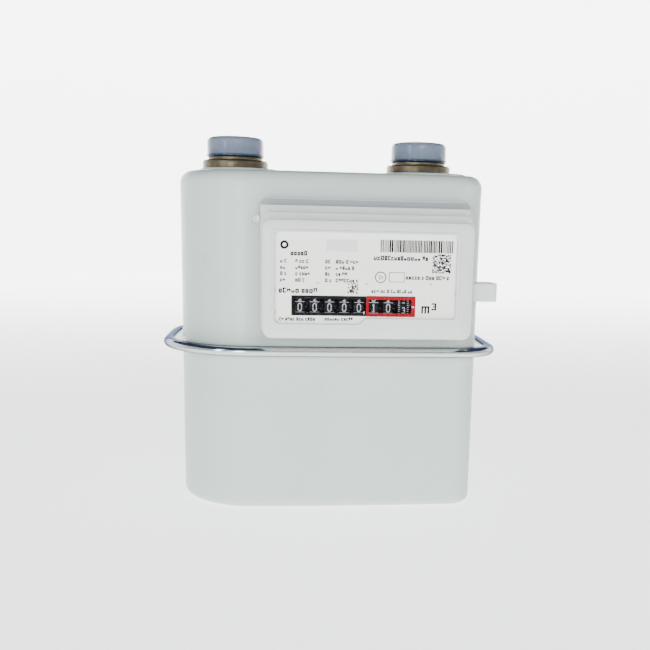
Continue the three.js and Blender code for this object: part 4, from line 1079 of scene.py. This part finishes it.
def studio_material():
    """A pale, softly glowing tent: brightest at the back, dim at its ends and in front."""
    pale = (0.86, 0.87, 0.87)
    material = finish("studio_floor", pale, 0.8, tint=0.005, size=300, bump=0.0)
    nodes, links = material.node_tree.nodes, material.node_tree.links
    shader = nodes["Principled BSDF"]
    shader.inputs["Emission Color"].default_value = (1, 1, 1, 1)

    def along(axis):
        return coordinate(nodes, links, axis)

    def negative(value):
        return computed(nodes, links, "MULTIPLY", value, -1.0)

    distance = {
        "X": computed(nodes, links, "MAXIMUM", along("X"), negative(along("X"))),
        "Y": along("Y"),
        "-Y": negative(along("Y")),
    }
    glow = None
    for axis, near, far, share in (TENT_SIDE, TENT_FRONT, TENT_BACK):
        faded = ranged(nodes, links, distance[axis], near * MM, far * MM)
        faded = computed(nodes, links, "MULTIPLY_ADD", faded, share - 1.0)
        glow = computed(nodes, links, "MULTIPLY", faded, glow or TENT_GLOW)
    near, far, level, behind, share = TENT_BESIDE
    beside = ranged(nodes, links, distance["X"], near * MM, far * MM)
    past = ranged(nodes, links, distance["Y"], level * MM, behind * MM)
    beside = computed(nodes, links, "MULTIPLY", beside,
                      computed(nodes, links, "MULTIPLY_ADD", past, -1.0))
    beside = computed(nodes, links, "MULTIPLY_ADD", beside, share - 1.0)
    glow = computed(nodes, links, "MULTIPLY", beside, glow)
    links.new(glow, shader.inputs["Emission Strength"])
    return material


def studio():
    """A pale floor that curves up far away all round, and is open above."""
    flat_r, bend_r, height = 1900, 800, 500
    profile = [(r, 0.0) for r in (200, 600, 1200)]
    profile += [(flat_r + r, bend_r + z) for r, z in arc((0, 0), bend_r, -90, 0, 12)]
    profile.append((flat_r + bend_r, bend_r + height))
    mesh = bmesh.new()
    rings = lathe(mesh, profile, 0, 0, segments=96, looped=False)
    mesh.faces.new(rings[0])
    bmesh.ops.recalc_face_normals(mesh, faces=mesh.faces)
    data = bpy.data.meshes.new("studio_floor")
    mesh.to_mesh(data)
    mesh.free()
    smooth(data, 60)
    data.materials.append(studio_material())
    floor = bpy.data.objects.new("studio_floor", data)
    bpy.context.scene.collection.objects.link(floor)


def area_light(name, place, aim, size, watts, color, mirrored=True):
    """mirrored tells whether shiny surfaces show the light."""
    data = bpy.data.lights.new(name, "AREA")
    data.shape = "RECTANGLE"
    data.size, data.size_y = size
    data.energy = watts
    data.color = color
    light = bpy.data.objects.new(name, data)
    light.location = place
    light.rotation_euler = (Vector(aim) - Vector(place)).to_track_quat("-Z", "Y").to_euler()
    light.visible_glossy = mirrored
    bpy.context.scene.collection.objects.link(light)


def lights():
    middle = (CAD_BOX[0] + CAD_BOX[1]) / 2
    area_light("key", (0.2, -1.3, 0.4), middle, (0.6, 0.3), 15, (1.0, 1.0, 0.98), mirrored=False)
    area_light("fill", (-0.6, -1.3, 0.1), middle, (0.35, 0.3), 7, (0.98, 0.99, 1), mirrored=False)
    area_light("strip", (-0.9, -0.9, 0.45), middle, (0.12, 0.8), 3, (1, 1, 1))
    area_light("front_strip", (-0.26, -0.8, 0.14), middle, (0.14, 0.3), 1.5, (1, 1, 0.97))
    world = bpy.data.worlds.new("studio")
    bpy.context.scene.world = world
    world.use_nodes = True
    background = world.node_tree.nodes["Background"]
    background.inputs["Color"].default_value = (0.20, 0.32, 0.60, 1)
    background.inputs["Strength"].default_value = 0.22


def camera():
    """At the photograph's viewing angle: slightly left of the meter's middle, looking down."""
    place = Vector((-28.0, -530.0, 163.05)) * MM
    yaw, pitch, roll = (math.radians(a) for a in (5.88, 11.02, 1.32))
    data = bpy.data.cameras.new("camera")
    data.lens = 47.25
    data.shift_x, data.shift_y = -0.064, 0.1
    view = bpy.data.objects.new("camera", data)
    turn = Matrix.Rotation(-yaw, 4, "Z") @ Matrix.Rotation(math.pi / 2 - pitch, 4, "X")
    view.matrix_world = Matrix.Translation(place) @ turn @ Matrix.Rotation(roll, 4, "Z")
    bpy.context.scene.collection.objects.link(view)
    bpy.context.scene.camera = view


# ---- Build --------------------------------------------------------------------------------------
casing()
clamp_band()
for port in ("inlet", "outlet"):
    nozzle(port)
    collar_seal(port)
    dust_cap(port)
index_cover()
index_base()
seal_plug()
window_pane()
name_plate()
plate_print()
plate_studs()
unit_mark()
opening_frames()
for count, value in enumerate((0, 0, 0, 0, 0, 1, 0), start=1):
    drum(count, value)
drum(8, 2.8, scale=True)
paint_carried_nodes()
studio()
lights()
camera()

bpy.context.view_layer.update()
